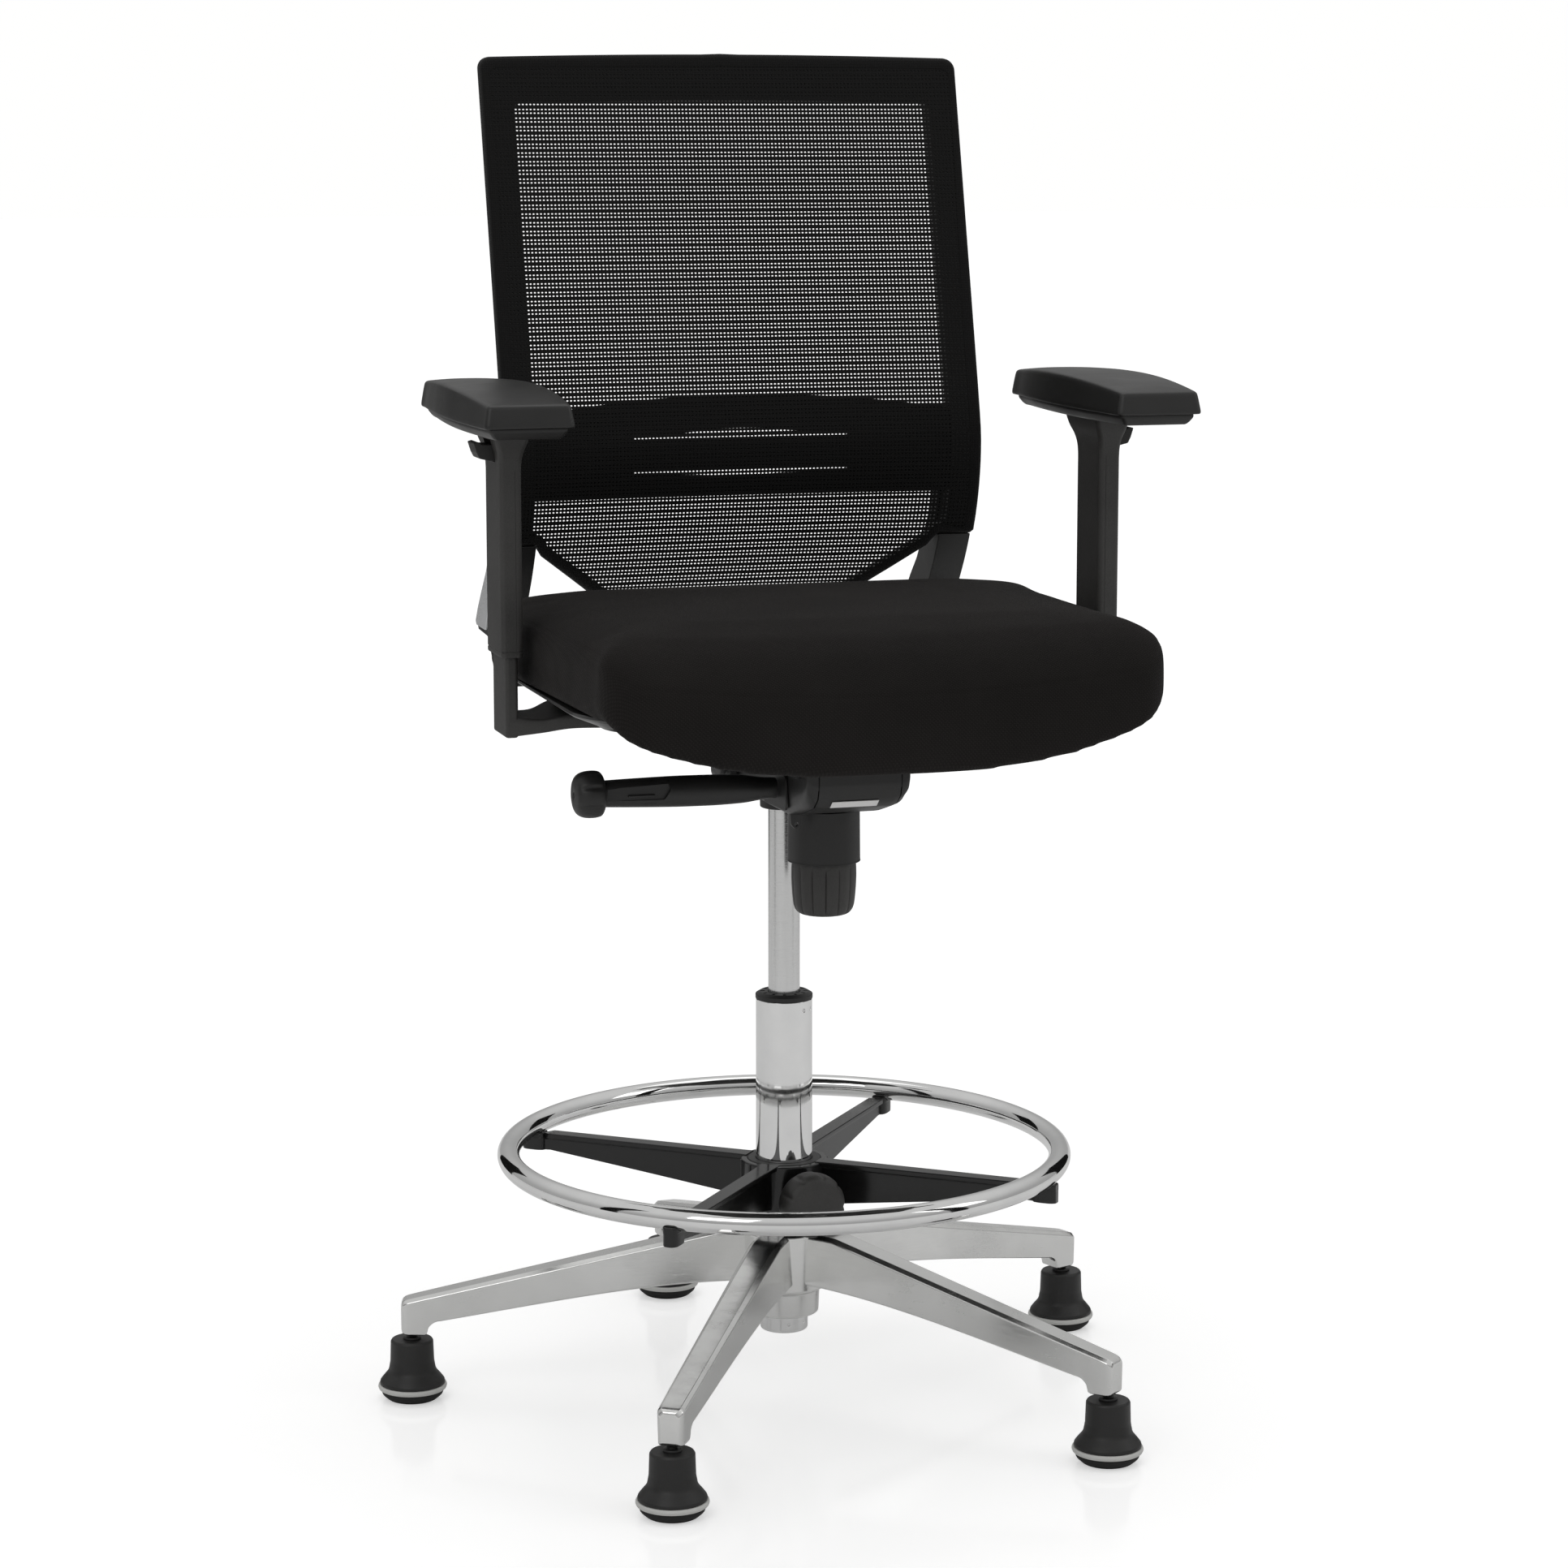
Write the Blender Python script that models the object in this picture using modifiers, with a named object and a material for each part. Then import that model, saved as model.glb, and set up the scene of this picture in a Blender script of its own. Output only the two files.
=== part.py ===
"""Drafting chair: a mesh-back swivel chair on a tall gas lift, with a foot ring and a five-leg base on glides.

Metres, +Z up. The chair faces -Y and the sitter's left is +X. The gas lift's axis is at COLUMN, which
puts the world origin on the floor under the middle of the chair's outer box.
"""

import math

import bmesh
import bpy
from mathutils import Matrix, Vector

COLUMN = (0.0066, -0.0151, 0.0)
GAP = 0.0003

# base
LEG_ANGLES = [-122.36 + 72.0 * i for i in range(5)]
GLIDE_CIRCLE_R = 0.3333
LEG_TIP_R = 0.3422
LEG_TOP_Z, LEG_TOP_SLOPE = 0.1695, 0.2270
NOSE_BOTTOM_Z = 0.0605
HUB_R, HUB_TOP_Z, HUB_LOW_R, HUB_LOW_Z = 0.0390, 0.1560, 0.0308, 0.0780
STEM_R = 0.0048
GLIDE_RING_R = 0.0308

# column
TUBE_R, TUBE_BORE_R, TUBE_TOP_Z = 0.0250, 0.0226, 0.3644
ROD_R, ROD_BOTTOM_Z, ROD_TOP_Z = 0.0140, 0.2300, 0.5640

# foot ring
RING_R, RING_TUBE_R, RING_Z = 0.2451, 0.0098, 0.2256
SPOKE_ANGLES = [-38.5 + 90.0 * i for i in range(4)]
SPOKE_TOP_Z = 0.2200
RING_HUB_R, RING_BUSH_R = 0.0385, 0.0325
KNOB_ANGLE, KNOB_Z = -83.5, 0.1910

# mechanism
MECH_HALF_W = 0.0450
SWIVEL_Z = 0.5500
TENSION_Y, TENSION_R = -0.1200, 0.0310
LEVER_PIVOT = (-0.0520, -0.1400, 0.5775)
LEVER_TIP_X = -0.2232
SEAT_PIVOT = (0.0, -0.1900, 0.6030)
BACK_PIVOT = (0.0, 0.0, 0.5750)

# seat
SEAT_HALF_W, SEAT_FRONT_Y, SEAT_REAR_Y, SEAT_BOW = 0.2505, -0.3197, 0.1500, 0.0135
SEAT_TOP_Z, SEAT_BOTTOM_Z, SEAT_LIP = 0.7260, 0.6595, 0.0442

# arms
POST_X, POST_HALF_W, POST_Y, POST_HALF_D = 0.2640, 0.0055, -0.0695, 0.0250
SLEEVE_HALF_W, SLEEVE_HALF_D = 0.0095, 0.0285
SLEEVE_BOTTOM_Z, HEAD_TOP_Z = 0.6900, 0.8775
PAD_X, PAD_FRONT_Y, PAD_REAR_Y, PAD_BOTTOM_Z = 0.2698, -0.2000, 0.0880, 0.8878

# back
BACK_HALF_W, BACK_TOP_Z, RAIL_END_Z = 0.2215, 1.1860, 0.7570
LUMBAR_Z, LUMBAR_Y = 0.8420, 0.1135
MESH_T, FRAME_T = 0.0012, 0.0165


# ---------------------------------------------------------------- scene and helpers

def clear_scene():
    for obj in list(bpy.data.objects):
        bpy.data.objects.remove(obj, do_unlink=True)


def collection(name):
    made = bpy.data.collections.new(name)
    bpy.context.scene.collection.children.link(made)
    return made


def material(name, color, roughness, metallic=0.0):
    mat = bpy.data.materials.new(name)
    mat.use_nodes = True
    shader = mat.node_tree.nodes["Principled BSDF"]
    shader.inputs["Base Color"].default_value = (*color, 1.0)
    shader.inputs["Roughness"].default_value = roughness
    shader.inputs["Metallic"].default_value = metallic
    mat.diffuse_color = (*color, 1.0)
    return mat


clear_scene()
PARTS = collection("drafting_chair")
CUTTERS = collection("cutters")
CUTTERS.hide_render = True

POLISHED = material("polished_aluminium", (0.80, 0.80, 0.79), 0.16, 1.0)
CHROME = material("chrome", (0.86, 0.86, 0.86), 0.06, 1.0)
BLACK_ALLOY = material("black_aluminium", (0.02, 0.02, 0.02), 0.25, 0.6)
STEEL = material("black_steel", (0.02, 0.02, 0.02), 0.40, 0.6)
BLACK = material("black_plastic", (0.022, 0.022, 0.023), 0.48)
SOFT_BLACK = material("soft_touch_plastic", (0.018, 0.018, 0.018), 0.38)
RUBBER = material("black_rubber", (0.015, 0.015, 0.015), 0.70)
GREY = material("light_grey_plastic", (0.66, 0.66, 0.64), 0.45)
SILVER = material("silver_paint", (0.62, 0.63, 0.64), 0.32, 0.7)
FABRIC = material("black_fabric", (0.012, 0.012, 0.013), 0.92)
MESH = material("black_mesh", (0.014, 0.014, 0.015), 0.85)
LABEL = material("white_label", (0.85, 0.85, 0.84), 0.55)


def pivot(name, at, parent=None):
    """An empty at a point given from the column's foot; it remembers that point."""
    made = bpy.data.objects.new(name, None)
    made.empty_display_size = 0.03
    PARTS.objects.link(made)
    made["at"] = at
    if parent is None:
        made.location = Vector(COLUMN) + Vector(at)
    else:
        made.parent = parent
        made.location = Vector(at) - Vector(parent["at"])
    return made


def place(obj, parent, at=(0, 0, 0), mat=None, turn=0.0):
    """Put an object whose mesh is drawn about `at` (from the column's foot) under a pivot."""
    target = PARTS if mat else CUTTERS
    for old in list(obj.users_collection):
        old.objects.unlink(obj)
    target.objects.link(obj)
    obj.parent = parent
    obj.location = Vector(at) - Vector(parent["at"])
    obj.rotation_euler = (0, 0, turn)
    if mat:
        obj.data.materials.clear()
        obj.data.materials.append(mat)
    else:
        obj.hide_render = True
        obj.display_type = "WIRE"
    return obj


def from_bmesh(name, bm):
    mesh = bpy.data.meshes.new(name)
    bmesh.ops.recalc_face_normals(bm, faces=bm.faces)
    bm.to_mesh(mesh)
    bm.free()
    return bpy.data.objects.new(name, mesh)


def evaluated(obj, angle=32):
    """Replace an object's data by its evaluated mesh, smooth except across sharp edges."""
    bpy.context.view_layer.update()
    graph = bpy.context.evaluated_depsgraph_get()
    mesh = bpy.data.meshes.new_from_object(obj.evaluated_get(graph))
    bm = bmesh.new()
    bm.from_mesh(mesh)
    bmesh.ops.remove_doubles(bm, verts=bm.verts, dist=0.00001)
    bmesh.ops.recalc_face_normals(bm, faces=bm.faces)
    bm.to_mesh(mesh)
    bm.free()
    if obj.type == "CURVE":
        name = obj.name
        bpy.data.objects.remove(obj, do_unlink=True)
        obj = bpy.data.objects.new(name, mesh)
    else:
        obj.modifiers.clear()
        obj.data = mesh
    mesh.shade_smooth()
    mesh.set_sharp_from_angle(angle=math.radians(angle))
    return obj


def turned(name, profile, steps=32, ring=False):
    """A profile of (radius, z) turned about Z. It runs down its outer side; a ring closes on itself."""
    mesh = bpy.data.meshes.new(name)
    edges = [(i, i + 1) for i in range(len(profile) - 1)]
    if ring:
        edges.append((len(profile) - 1, 0))
    mesh.from_pydata([(r, 0, z) for r, z in profile], edges, [])
    obj = bpy.data.objects.new(name, mesh)
    bpy.context.scene.collection.objects.link(obj)
    screw = obj.modifiers.new("Screw", "SCREW")
    screw.steps = steps
    screw.render_steps = steps
    screw.use_merge_vertices = True
    screw.merge_threshold = 0.0001
    screw.use_normal_calculate = True
    return evaluated(obj)


def box(name, low, high):
    bm = bmesh.new()
    size = Vector(high) - Vector(low)
    middle = (Vector(high) + Vector(low)) / 2
    bmesh.ops.create_cube(bm, size=1.0, matrix=Matrix.Translation(middle) @ Matrix.Diagonal((*size, 1.0)))
    return from_bmesh(name, bm)


def rod(name, start, end, radius, steps=20, end_radius=None):
    """A cylinder or cone between two points."""
    start, end = Vector(start), Vector(end)
    bm = bmesh.new()
    bmesh.ops.create_cone(
        bm,
        cap_ends=True,
        segments=steps,
        radius1=radius,
        radius2=radius if end_radius is None else end_radius,
        depth=(end - start).length,
    )
    turn = (end - start).to_track_quat("Z", "Y").to_matrix().to_4x4()
    bmesh.ops.transform(bm, matrix=Matrix.Translation((start + end) / 2) @ turn, verts=bm.verts)
    return from_bmesh(name, bm)


def loft(name, rings):
    """Skin closed rings of equal point count and cap both ends."""
    bm = bmesh.new()
    rows = [[bm.verts.new(p) for p in ring] for ring in rings]
    n = len(rows[0])
    for a, b in zip(rows, rows[1:]):
        for i in range(n):
            bm.faces.new((a[i], a[(i + 1) % n], b[(i + 1) % n], b[i]))
    bm.faces.new(list(reversed(rows[0])))
    bm.faces.new(rows[-1])
    return from_bmesh(name, bm)


def outline_solid(name, points, thickness, to_world):
    """A flat outline extruded to a thickness; to_world maps the outline's own frame."""
    curve = bpy.data.curves.new(name, "CURVE")
    curve.dimensions = "2D"
    curve.fill_mode = "BOTH"
    curve.extrude = thickness / 2
    spline = curve.splines.new("POLY")
    spline.points.add(len(points) - 1)
    for point, (x, y) in zip(spline.points, points):
        point.co = (x, y, 0, 1)
    spline.use_cyclic_u = True
    obj = bpy.data.objects.new(name, curve)
    bpy.context.scene.collection.objects.link(obj)
    made = evaluated(obj)
    made.data.transform(to_world)
    return made


def facing_x(x):
    """Maps an outline's (first, second) to (y, z) on a plane of constant x."""
    return Matrix(((0, 0, 1, x), (1, 0, 0, 0), (0, 1, 0, 0), (0, 0, 0, 1)))


def facing_y(y):
    """Maps an outline's (first, second) to (x, z) on a plane of constant y."""
    return Matrix(((1, 0, 0, 0), (0, 0, -1, y), (0, 1, 0, 0), (0, 0, 0, 1)))


def facing_z(z):
    return Matrix.Translation((0, 0, z))


def bevel(obj, width, segments=2, angle=35):
    mod = obj.modifiers.new("Bevel", "BEVEL")
    mod.width = width
    mod.segments = segments
    mod.limit_method = "ANGLE"
    mod.angle_limit = math.radians(angle)
    return obj


def combine(obj, other, operation):
    mod = obj.modifiers.new(operation.title(), "BOOLEAN")
    mod.operation = operation
    mod.solver = "EXACT"
    mod.object = other
    return obj


def rounded_box(x0, x1, y0, y1, r_front, r_rear, n=5):
    """Corner-rounded rectangle, anticlockwise from the front right corner (+X, -Y)."""
    corners = (
        (x1 - r_front, y0 + r_front, r_front, -90),
        (x1 - r_rear, y1 - r_rear, r_rear, 0),
        (x0 + r_rear, y1 - r_rear, r_rear, 90),
        (x0 + r_front, y0 + r_front, r_front, 180),
    )
    points = []
    for cx, cy, r, start in corners:
        for i in range(n + 1):
            a = math.radians(start + 90 * i / n)
            points.append((cx + r * math.cos(a), cy + r * math.sin(a)))
    return points


def smoothstep(t):
    t = max(0.0, min(1.0, t))
    return t * t * (3 - 2 * t)


# ---------------------------------------------------------------- base

def leg_section(r, top_half, low_half, low_z):
    """Cross-section of a leg: flat top, chamfered shoulders, sides that spread downwards."""
    top = min(HUB_TOP_Z, LEG_TOP_Z - LEG_TOP_SLOPE * r)
    shoulder = top_half + 0.35 * (low_half - top_half) + 0.0030
    foot = min(0.004, (top - low_z) * 0.2)
    half = [
        (top_half, top),
        (shoulder, top - 0.0035),
        (low_half, low_z + foot),
        (low_half - 0.002, low_z),
    ]
    return [(r, y, z) for y, z in half] + [(r, -y, z) for y, z in reversed(half)]


def leg_solid(name):
    """One leg along +X, from inside the hub to its rounded nose."""
    length = LEG_TIP_R
    rings = []
    for i in range(7):
        t = i / 6
        r = 0.020 + t * 0.296
        low = 0.1105 - 0.0569 * smoothstep(t * 0.62)
        rings.append(leg_section(r, 0.0105 - 0.0017 * t, 0.0185 - 0.0063 * t, low))
    rings.append(leg_section(0.3205, 0.0086, 0.0120, NOSE_BOTTOM_Z + 0.0015))
    rings.append(leg_section(length - 0.0060, 0.0084, 0.0116, NOSE_BOTTOM_Z))
    rings.append(leg_section(length - 0.0018, 0.0070, 0.0100, NOSE_BOTTOM_Z + 0.0006))
    rings.append(leg_section(length, 0.0048, 0.0072, NOSE_BOTTOM_Z + 0.0030))
    return loft(name, rings)


def base_star(root):
    profile = [
        (0.0258, HUB_TOP_Z),
        (HUB_R - 0.003, HUB_TOP_Z),
        (HUB_R, HUB_TOP_Z - 0.003),
        (HUB_R - 0.001, 0.1030),
        (HUB_LOW_R + 0.001, 0.1000),
        (HUB_LOW_R, HUB_LOW_Z + 0.002),
        (HUB_LOW_R - 0.002, HUB_LOW_Z),
        (0.0258, HUB_LOW_Z),
    ]
    star = place(turned("base_star", profile, 32, ring=True), root, mat=POLISHED)
    sockets = []
    for i, degrees in enumerate(LEG_ANGLES):
        a = math.radians(degrees)
        leg = leg_solid("leg_%d" % i)
        trim = rod("leg_trim_%d" % i, (0, 0, 0.05), (0, 0, 0.20), 0.0300, 32)
        hollow = box("leg_hollow_%d" % i, (0.060, -0.0085, 0.04), (0.300, 0.0085, 0.10))
        for v in hollow.data.vertices:
            v.co.z = 0.04 if v.co.z < 0.05 else (0.132 if v.co.x < 0.1 else 0.0835)
        place(trim, root)
        place(hollow, root, turn=a)
        place(leg, root, turn=a)
        combine(leg, trim, "DIFFERENCE")
        combine(leg, hollow, "DIFFERENCE")
        combine(star, leg, "UNION")
        x, y = GLIDE_CIRCLE_R * math.cos(a), GLIDE_CIRCLE_R * math.sin(a)
        sockets.append(place(rod("stem_hole_%d" % i, (x, y, 0.05), (x, y, 0.0755), STEM_R + GAP, 16), root))
    for hole in sockets:
        combine(star, hole, "DIFFERENCE")
    evaluated(star, 28)


def glide(index, root):
    """A bell-shaped glide: threaded stem, bell, light grey ring and rubber sole."""
    a = math.radians(LEG_ANGLES[index])
    at = (GLIDE_CIRCLE_R * math.cos(a), GLIDE_CIRCLE_R * math.sin(a), 0)
    number = index + 1
    spin = pivot("glide_axis_%d" % number, at, root)
    stem = [(0, 0.0745), (STEM_R, 0.0745), (STEM_R, 0.0400), (0, 0.0400)]
    place(turned("glide_stem_%d" % number, stem, 12), root, at, STEEL)
    bell = [
        (0, 0.0385),
        (0.0056, 0.0385),
        (0.0056, 0.0550),
        (0.0168, 0.0550),
        (0.0190, 0.0532),
        (0.0196, 0.0350),
        (0.0212, 0.0265),
        (0.0262, 0.0205),
        (0.0288, 0.0165),
        (0.0290, 0.0142),
        (0, 0.0142),
    ]
    place(turned("glide_bell_%d" % number, bell, 16), spin, at, BLACK)
    ring = [
        (0.0262, 0.0139),
        (0.0300, 0.0139),
        (GLIDE_RING_R, 0.0128),
        (GLIDE_RING_R, 0.0104),
        (0.0298, 0.0094),
        (0.0262, 0.0094),
    ]
    place(turned("glide_ring_%d" % number, ring, 16, ring=True), spin, at, GREY)
    sole = [
        (0, 0.0138),
        (0.0258, 0.0138),
        (0.0258, 0.0090),
        (0.0276, 0.0088),
        (0.0272, 0.0055),
        (0.0240, 0.0015),
        (0.0200, 0),
        (0, 0),
    ]
    place(turned("glide_sole_%d" % number, sole, 16), spin, at, RUBBER)


def column(root, lift):
    tube = [
        (0, 0.0820),
        (TUBE_BORE_R, 0.0820),
        (TUBE_BORE_R, TUBE_TOP_Z),
        (TUBE_R, TUBE_TOP_Z),
        (TUBE_R, 0.0790),
        (0.0213, 0.0765),
        (0.0213, 0.0640),
        (0.0190, 0.0617),
        (0, 0.0617),
    ]
    place(turned("column_tube", tube, 32), root, mat=CHROME)
    cap = [
        (ROD_R + GAP, 0.3707),
        (0.0205, 0.3707),
        (0.0240, 0.3694),
        (0.0254, 0.3684),
        (0.0254, TUBE_TOP_Z + GAP),
        (TUBE_BORE_R - GAP, TUBE_TOP_Z + GAP),
        (TUBE_BORE_R - GAP, 0.3350),
        (ROD_R + GAP, 0.3350),
    ]
    place(turned("column_cap", cap, 28, ring=True), root, mat=BLACK)
    stem = [
        (0, ROD_TOP_Z),
        (0.0120, ROD_TOP_Z),
        (ROD_R, ROD_TOP_Z - 0.020),
        (ROD_R, ROD_BOTTOM_Z + 0.002),
        (ROD_R - 0.002, ROD_BOTTOM_Z),
        (0, ROD_BOTTOM_Z),
    ]
    place(turned("lift_rod", stem, 24), lift, mat=CHROME)


# ---------------------------------------------------------------- foot ring

def spoke_section(r, half, web, low):
    top = SPOKE_TOP_Z
    shape = [(half, top), (half, top - 0.0045), (web, top - 0.0055), (web, low)]
    return [(r, y, z) for y, z in shape] + [(r, -y, z) for y, z in reversed(shape)]


def spoke_solid(name):
    """One spoke along +X: a flange over a deep web that tapers to a block at the tip."""
    rings = [
        spoke_section(0.0300, 0.0085, 0.0040, 0.1790),
        spoke_section(0.0500, 0.0080, 0.0034, 0.1815),
        spoke_section(0.1300, 0.0078, 0.0032, 0.1915),
        spoke_section(0.2330, 0.0074, 0.0032, 0.2035),
        spoke_section(0.2360, 0.0076, 0.0070, 0.2030),
        spoke_section(0.2545, 0.0076, 0.0070, 0.2030),
        spoke_section(0.2570, 0.0056, 0.0050, 0.2045),
    ]
    return loft(name, rings)


def torus(name, major, minor, major_steps, minor_steps):
    profile = []
    for i in range(minor_steps):
        a = -2 * math.pi * i / minor_steps
        profile.append((major + minor * math.cos(a), minor * math.sin(a)))
    return turned(name, profile, major_steps, ring=True)


def foot_ring(root, slide, spin, screw):
    bush = [
        (TUBE_R + GAP, 0.2195),
        (RING_BUSH_R - 0.002, 0.2195),
        (RING_BUSH_R, 0.2180),
        (RING_BUSH_R, 0.1700),
        (TUBE_R + GAP, 0.1700),
    ]
    place(turned("footring_bush", bush, 32, ring=True), slide, mat=BLACK)

    collar = [
        (RING_BUSH_R + GAP, 0.2190),
        (RING_HUB_R - 0.0015, 0.2190),
        (RING_HUB_R, 0.2175),
        (RING_HUB_R, 0.1760),
        (RING_BUSH_R + GAP, 0.1760),
    ]
    hub = place(turned("footring_hub", collar, 32, ring=True), spin, mat=BLACK_ALLOY)
    bore = place(rod("hub_bore", (0, 0, 0.16), (0, 0, 0.24), RING_BUSH_R + 0.0008, 32), root)
    for i, degrees in enumerate(SPOKE_ANGLES):
        spoke = place(spoke_solid("spoke_%d" % i), root, turn=math.radians(degrees))
        combine(spoke, bore, "DIFFERENCE")
        combine(hub, spoke, "UNION")
    groove = place(torus("ring_groove", RING_R, RING_TUBE_R + 0.0005, 48, 10), root, (0, 0, RING_Z))
    combine(hub, groove, "DIFFERENCE")
    a = math.radians(KNOB_ANGLE)
    out = Vector((math.cos(a), math.sin(a), 0))
    middle = Vector((0, 0, KNOB_Z))
    hole = rod("screw_hole", middle + out * 0.030, middle + out * 0.045, 0.0045, 16)
    combine(hub, place(hole, root), "DIFFERENCE")
    evaluated(hub, 28)

    place(torus("footring_ring", RING_R, RING_TUBE_R, 48, 10), spin, (0, 0, RING_Z), CHROME)

    count, lobes = 48, 8
    rings = []
    for distance, size in ((0.0480, 0.72), (0.0520, 0.97), (0.0660, 1.0), (0.0730, 0.93), (0.0775, 0.70)):
        ring = []
        for i in range(count):
            t = 2 * math.pi * i / count
            radius = 0.0290 * size * (1 - 0.055 * max(0.0, math.cos(lobes * t)) ** 3)
            side = Vector((-out.y, out.x, 0)) * math.cos(t) + Vector((0, 0, 1)) * math.sin(t)
            ring.append(middle + out * distance + side * radius)
        rings.append(ring)
    knob = place(loft("footring_knob", rings), screw, mat=BLACK)
    shank = place(rod("knob_shank", middle + out * 0.0330, middle + out * 0.0520, 0.0040, 16), root)
    combine(knob, shank, "UNION")
    evaluated(knob, 30)


# ---------------------------------------------------------------- mechanism

def mechanism(root, swivel, tension, lever, lever_spin):
    side = [
        (-0.2200, 0.5900),
        (-0.2160, 0.5780),
        (-0.2050, 0.5690),
        (-0.1600, 0.5570),
        (-0.1500, 0.5552),
        (-0.0250, 0.5550),
        (-0.0230, 0.5360),
        (0.0230, 0.5360),
        (0.0250, 0.5470),
        (0.0800, 0.5500),
        (0.0850, 0.5550),
        (0.0850, 0.5740),
        (-0.1700, 0.6060),
        (-0.1850, 0.6120),
        (-0.2150, 0.6120),
        (-0.2200, 0.6080),
    ]
    body = outline_solid("mech_housing", side, 2 * MECH_HALF_W, facing_x(0.0))
    place(body, swivel, mat=BLACK)
    bevel(body, 0.0060, 2, 50)
    waist = rod("boss_keep", (0, 0, 0.50), (0, 0, 0.5551), 0.0215, 32)
    block = box("boss_block", (-0.06, -0.0260, 0.50), (0.06, 0.0260, 0.5535))
    place(waist, root)
    place(block, root)
    combine(block, waist, "DIFFERENCE")
    combine(body, block, "DIFFERENCE")
    socket = place(rod("rod_socket", (0, 0, 0.50), (0, 0, 0.5680), ROD_R + GAP, 32), root)
    combine(body, socket, "DIFFERENCE")
    front = place(rod("front_pin_hole", (-0.06, -0.19, 0.603), (0.06, -0.19, 0.603), 0.0043, 16), root)
    combine(body, front, "DIFFERENCE")
    for sign, name in ((-1, "r"), (1, "l")):
        hole = rod("back_pin_hole_" + name, (sign * 0.034, 0, 0.575), (sign * 0.06, 0, 0.575), 0.0053, 16)
        combine(body, place(hole, root), "DIFFERENCE")
        pin = rod("back_pivot_bolt_" + name, (sign * 0.035, 0, 0.575), (sign * 0.0555, 0, 0.575), 0.0050, 16)
        head = rod("bolt_head_" + name, (sign * 0.0550, 0, 0.575), (sign * 0.0600, 0, 0.575), 0.0085, 16)
        place(head, root)
        place(pin, swivel, mat=STEEL)
        combine(pin, head, "UNION")
        evaluated(pin)
    evaluated(body, 28)

    pin = rod("seat_pivot_pin", (-0.0540, -0.19, 0.603), (0.0540, -0.19, 0.603), 0.0040, 16)
    place(pin, swivel, mat=STEEL)

    sleeve = [
        (0, 0.5546),
        (TENSION_R, 0.5546),
        (TENSION_R + 0.0006, 0.5110),
        (TENSION_R - 0.0010, 0.5095),
        (0.0275, 0.5095),
        (0.0275, 0.5200),
        (0, 0.5200),
    ]
    place(turned("tension_housing", sleeve, 32), swivel, (0, TENSION_Y, 0), BLACK)

    label = box("label_plate", (-0.0202, -0.0003, -0.0045), (0.0202, 0.0003, 0.0045))
    slope = Matrix.Rotation(math.radians(50.7), 4, "X")
    label.data.transform(Matrix.Translation((-0.0012, -0.21093, 0.57296)) @ slope)
    place(label, swivel, mat=LABEL)

    flutes, count = 14, 56
    rings = []
    grip = ((0.5190, 0.0255), (0.5085, 0.0272), (0.4950, 0.0278), (0.4740, 0.0262))
    for z, r in grip + ((0.4655, 0.0238), (0.4632, 0.0190)):
        ring = []
        for i in range(count):
            t = 2 * math.pi * i / count
            groove = 0.0010 if i % (count // flutes) == 0 and z < 0.5 else 0.0
            ring.append(((r - groove) * math.cos(-t), TENSION_Y + (r - groove) * math.sin(-t), z))
        rings.append(ring)
    place(loft("tension_knob", rings), tension, mat=BLACK)

    height_lever(root, lever, lever_spin)


def height_lever(root, lever, lever_spin):
    px, py, pz = LEVER_PIVOT
    rings = []
    stations = (
        (-0.0488, 0.0095, 0.0090),
        (-0.0620, 0.0100, 0.0095),
        (-0.0640, 0.0118, 0.0112),
        (-0.1000, 0.0130, 0.0130),
        (-0.1400, 0.0130, 0.0130),
        (-0.1970, 0.0110, 0.0113),
    )
    for x, half_y, half_z in stations:
        centre = pz + 0.0018 * (x + 0.05) / -0.15
        rings.append(
            [
                (x, py + half_y * math.cos(2 * math.pi * i / 20), centre + half_z * math.sin(2 * math.pi * i / 20))
                for i in range(20)
            ]
        )
    shaft = place(loft("height_lever", rings), lever, mat=BLACK)
    thumb = box("thumb_recess", (-0.1960, py - 0.016, pz - 0.0035), (-0.1430, py - 0.0098, pz + 0.0090))
    combine(shaft, place(thumb, root), "DIFFERENCE")
    evaluated(shaft, 30)

    centre = pz + 0.0018
    rings = []
    count, lobes = 42, 7
    for x, size in ((-0.1976, 0.70), (-0.2010, 0.97), (-0.2120, 1.0), (-0.2185, 0.90), (LEVER_TIP_X, 0.60)):
        ring = []
        for i in range(count):
            t = 2 * math.pi * i / count
            r = 0.0198 * size * (1 - 0.06 * max(0.0, math.cos(lobes * t)) ** 3)
            ring.append((x, py + r * math.cos(t), centre + r * math.sin(t)))
        rings.append(ring)
    place(loft("lever_knob", rings), lever_spin, mat=BLACK)


# ---------------------------------------------------------------- seat

def seat_outline(inset, n=7):
    """The seat's plan drawn `inset` inside its edge: narrower ahead of the arms, front edge bowed."""
    w = SEAT_HALF_W - inset
    front = SEAT_FRONT_Y + inset
    r_front = max(0.020, 0.030 - inset)
    r_rear = max(0.015, 0.110 - inset)
    points = rounded_box(-w, w, front, SEAT_REAR_Y - inset, r_front, r_rear, n)
    points += [((w - r_front) * (i / 4 - 1), front) for i in range(1, 8)]
    plan = []
    for x, y in points:
        bow = SEAT_BOW * smoothstep((-0.2000 - y) / 0.1200) * (1 - (x / SEAT_HALF_W) ** 2)
        plan.append((x * (1 - 0.0500 * smoothstep((-0.0800 + bow - y) / 0.1500)), y - bow))
    return plan


def lip_depth(x, y):
    """How far the cushion's front edge hangs below its sides."""
    return SEAT_LIP * smoothstep((-0.2850 - y) / 0.0350) * (1 - min(1.0, abs(x) / 0.2540) ** 3)


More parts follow.
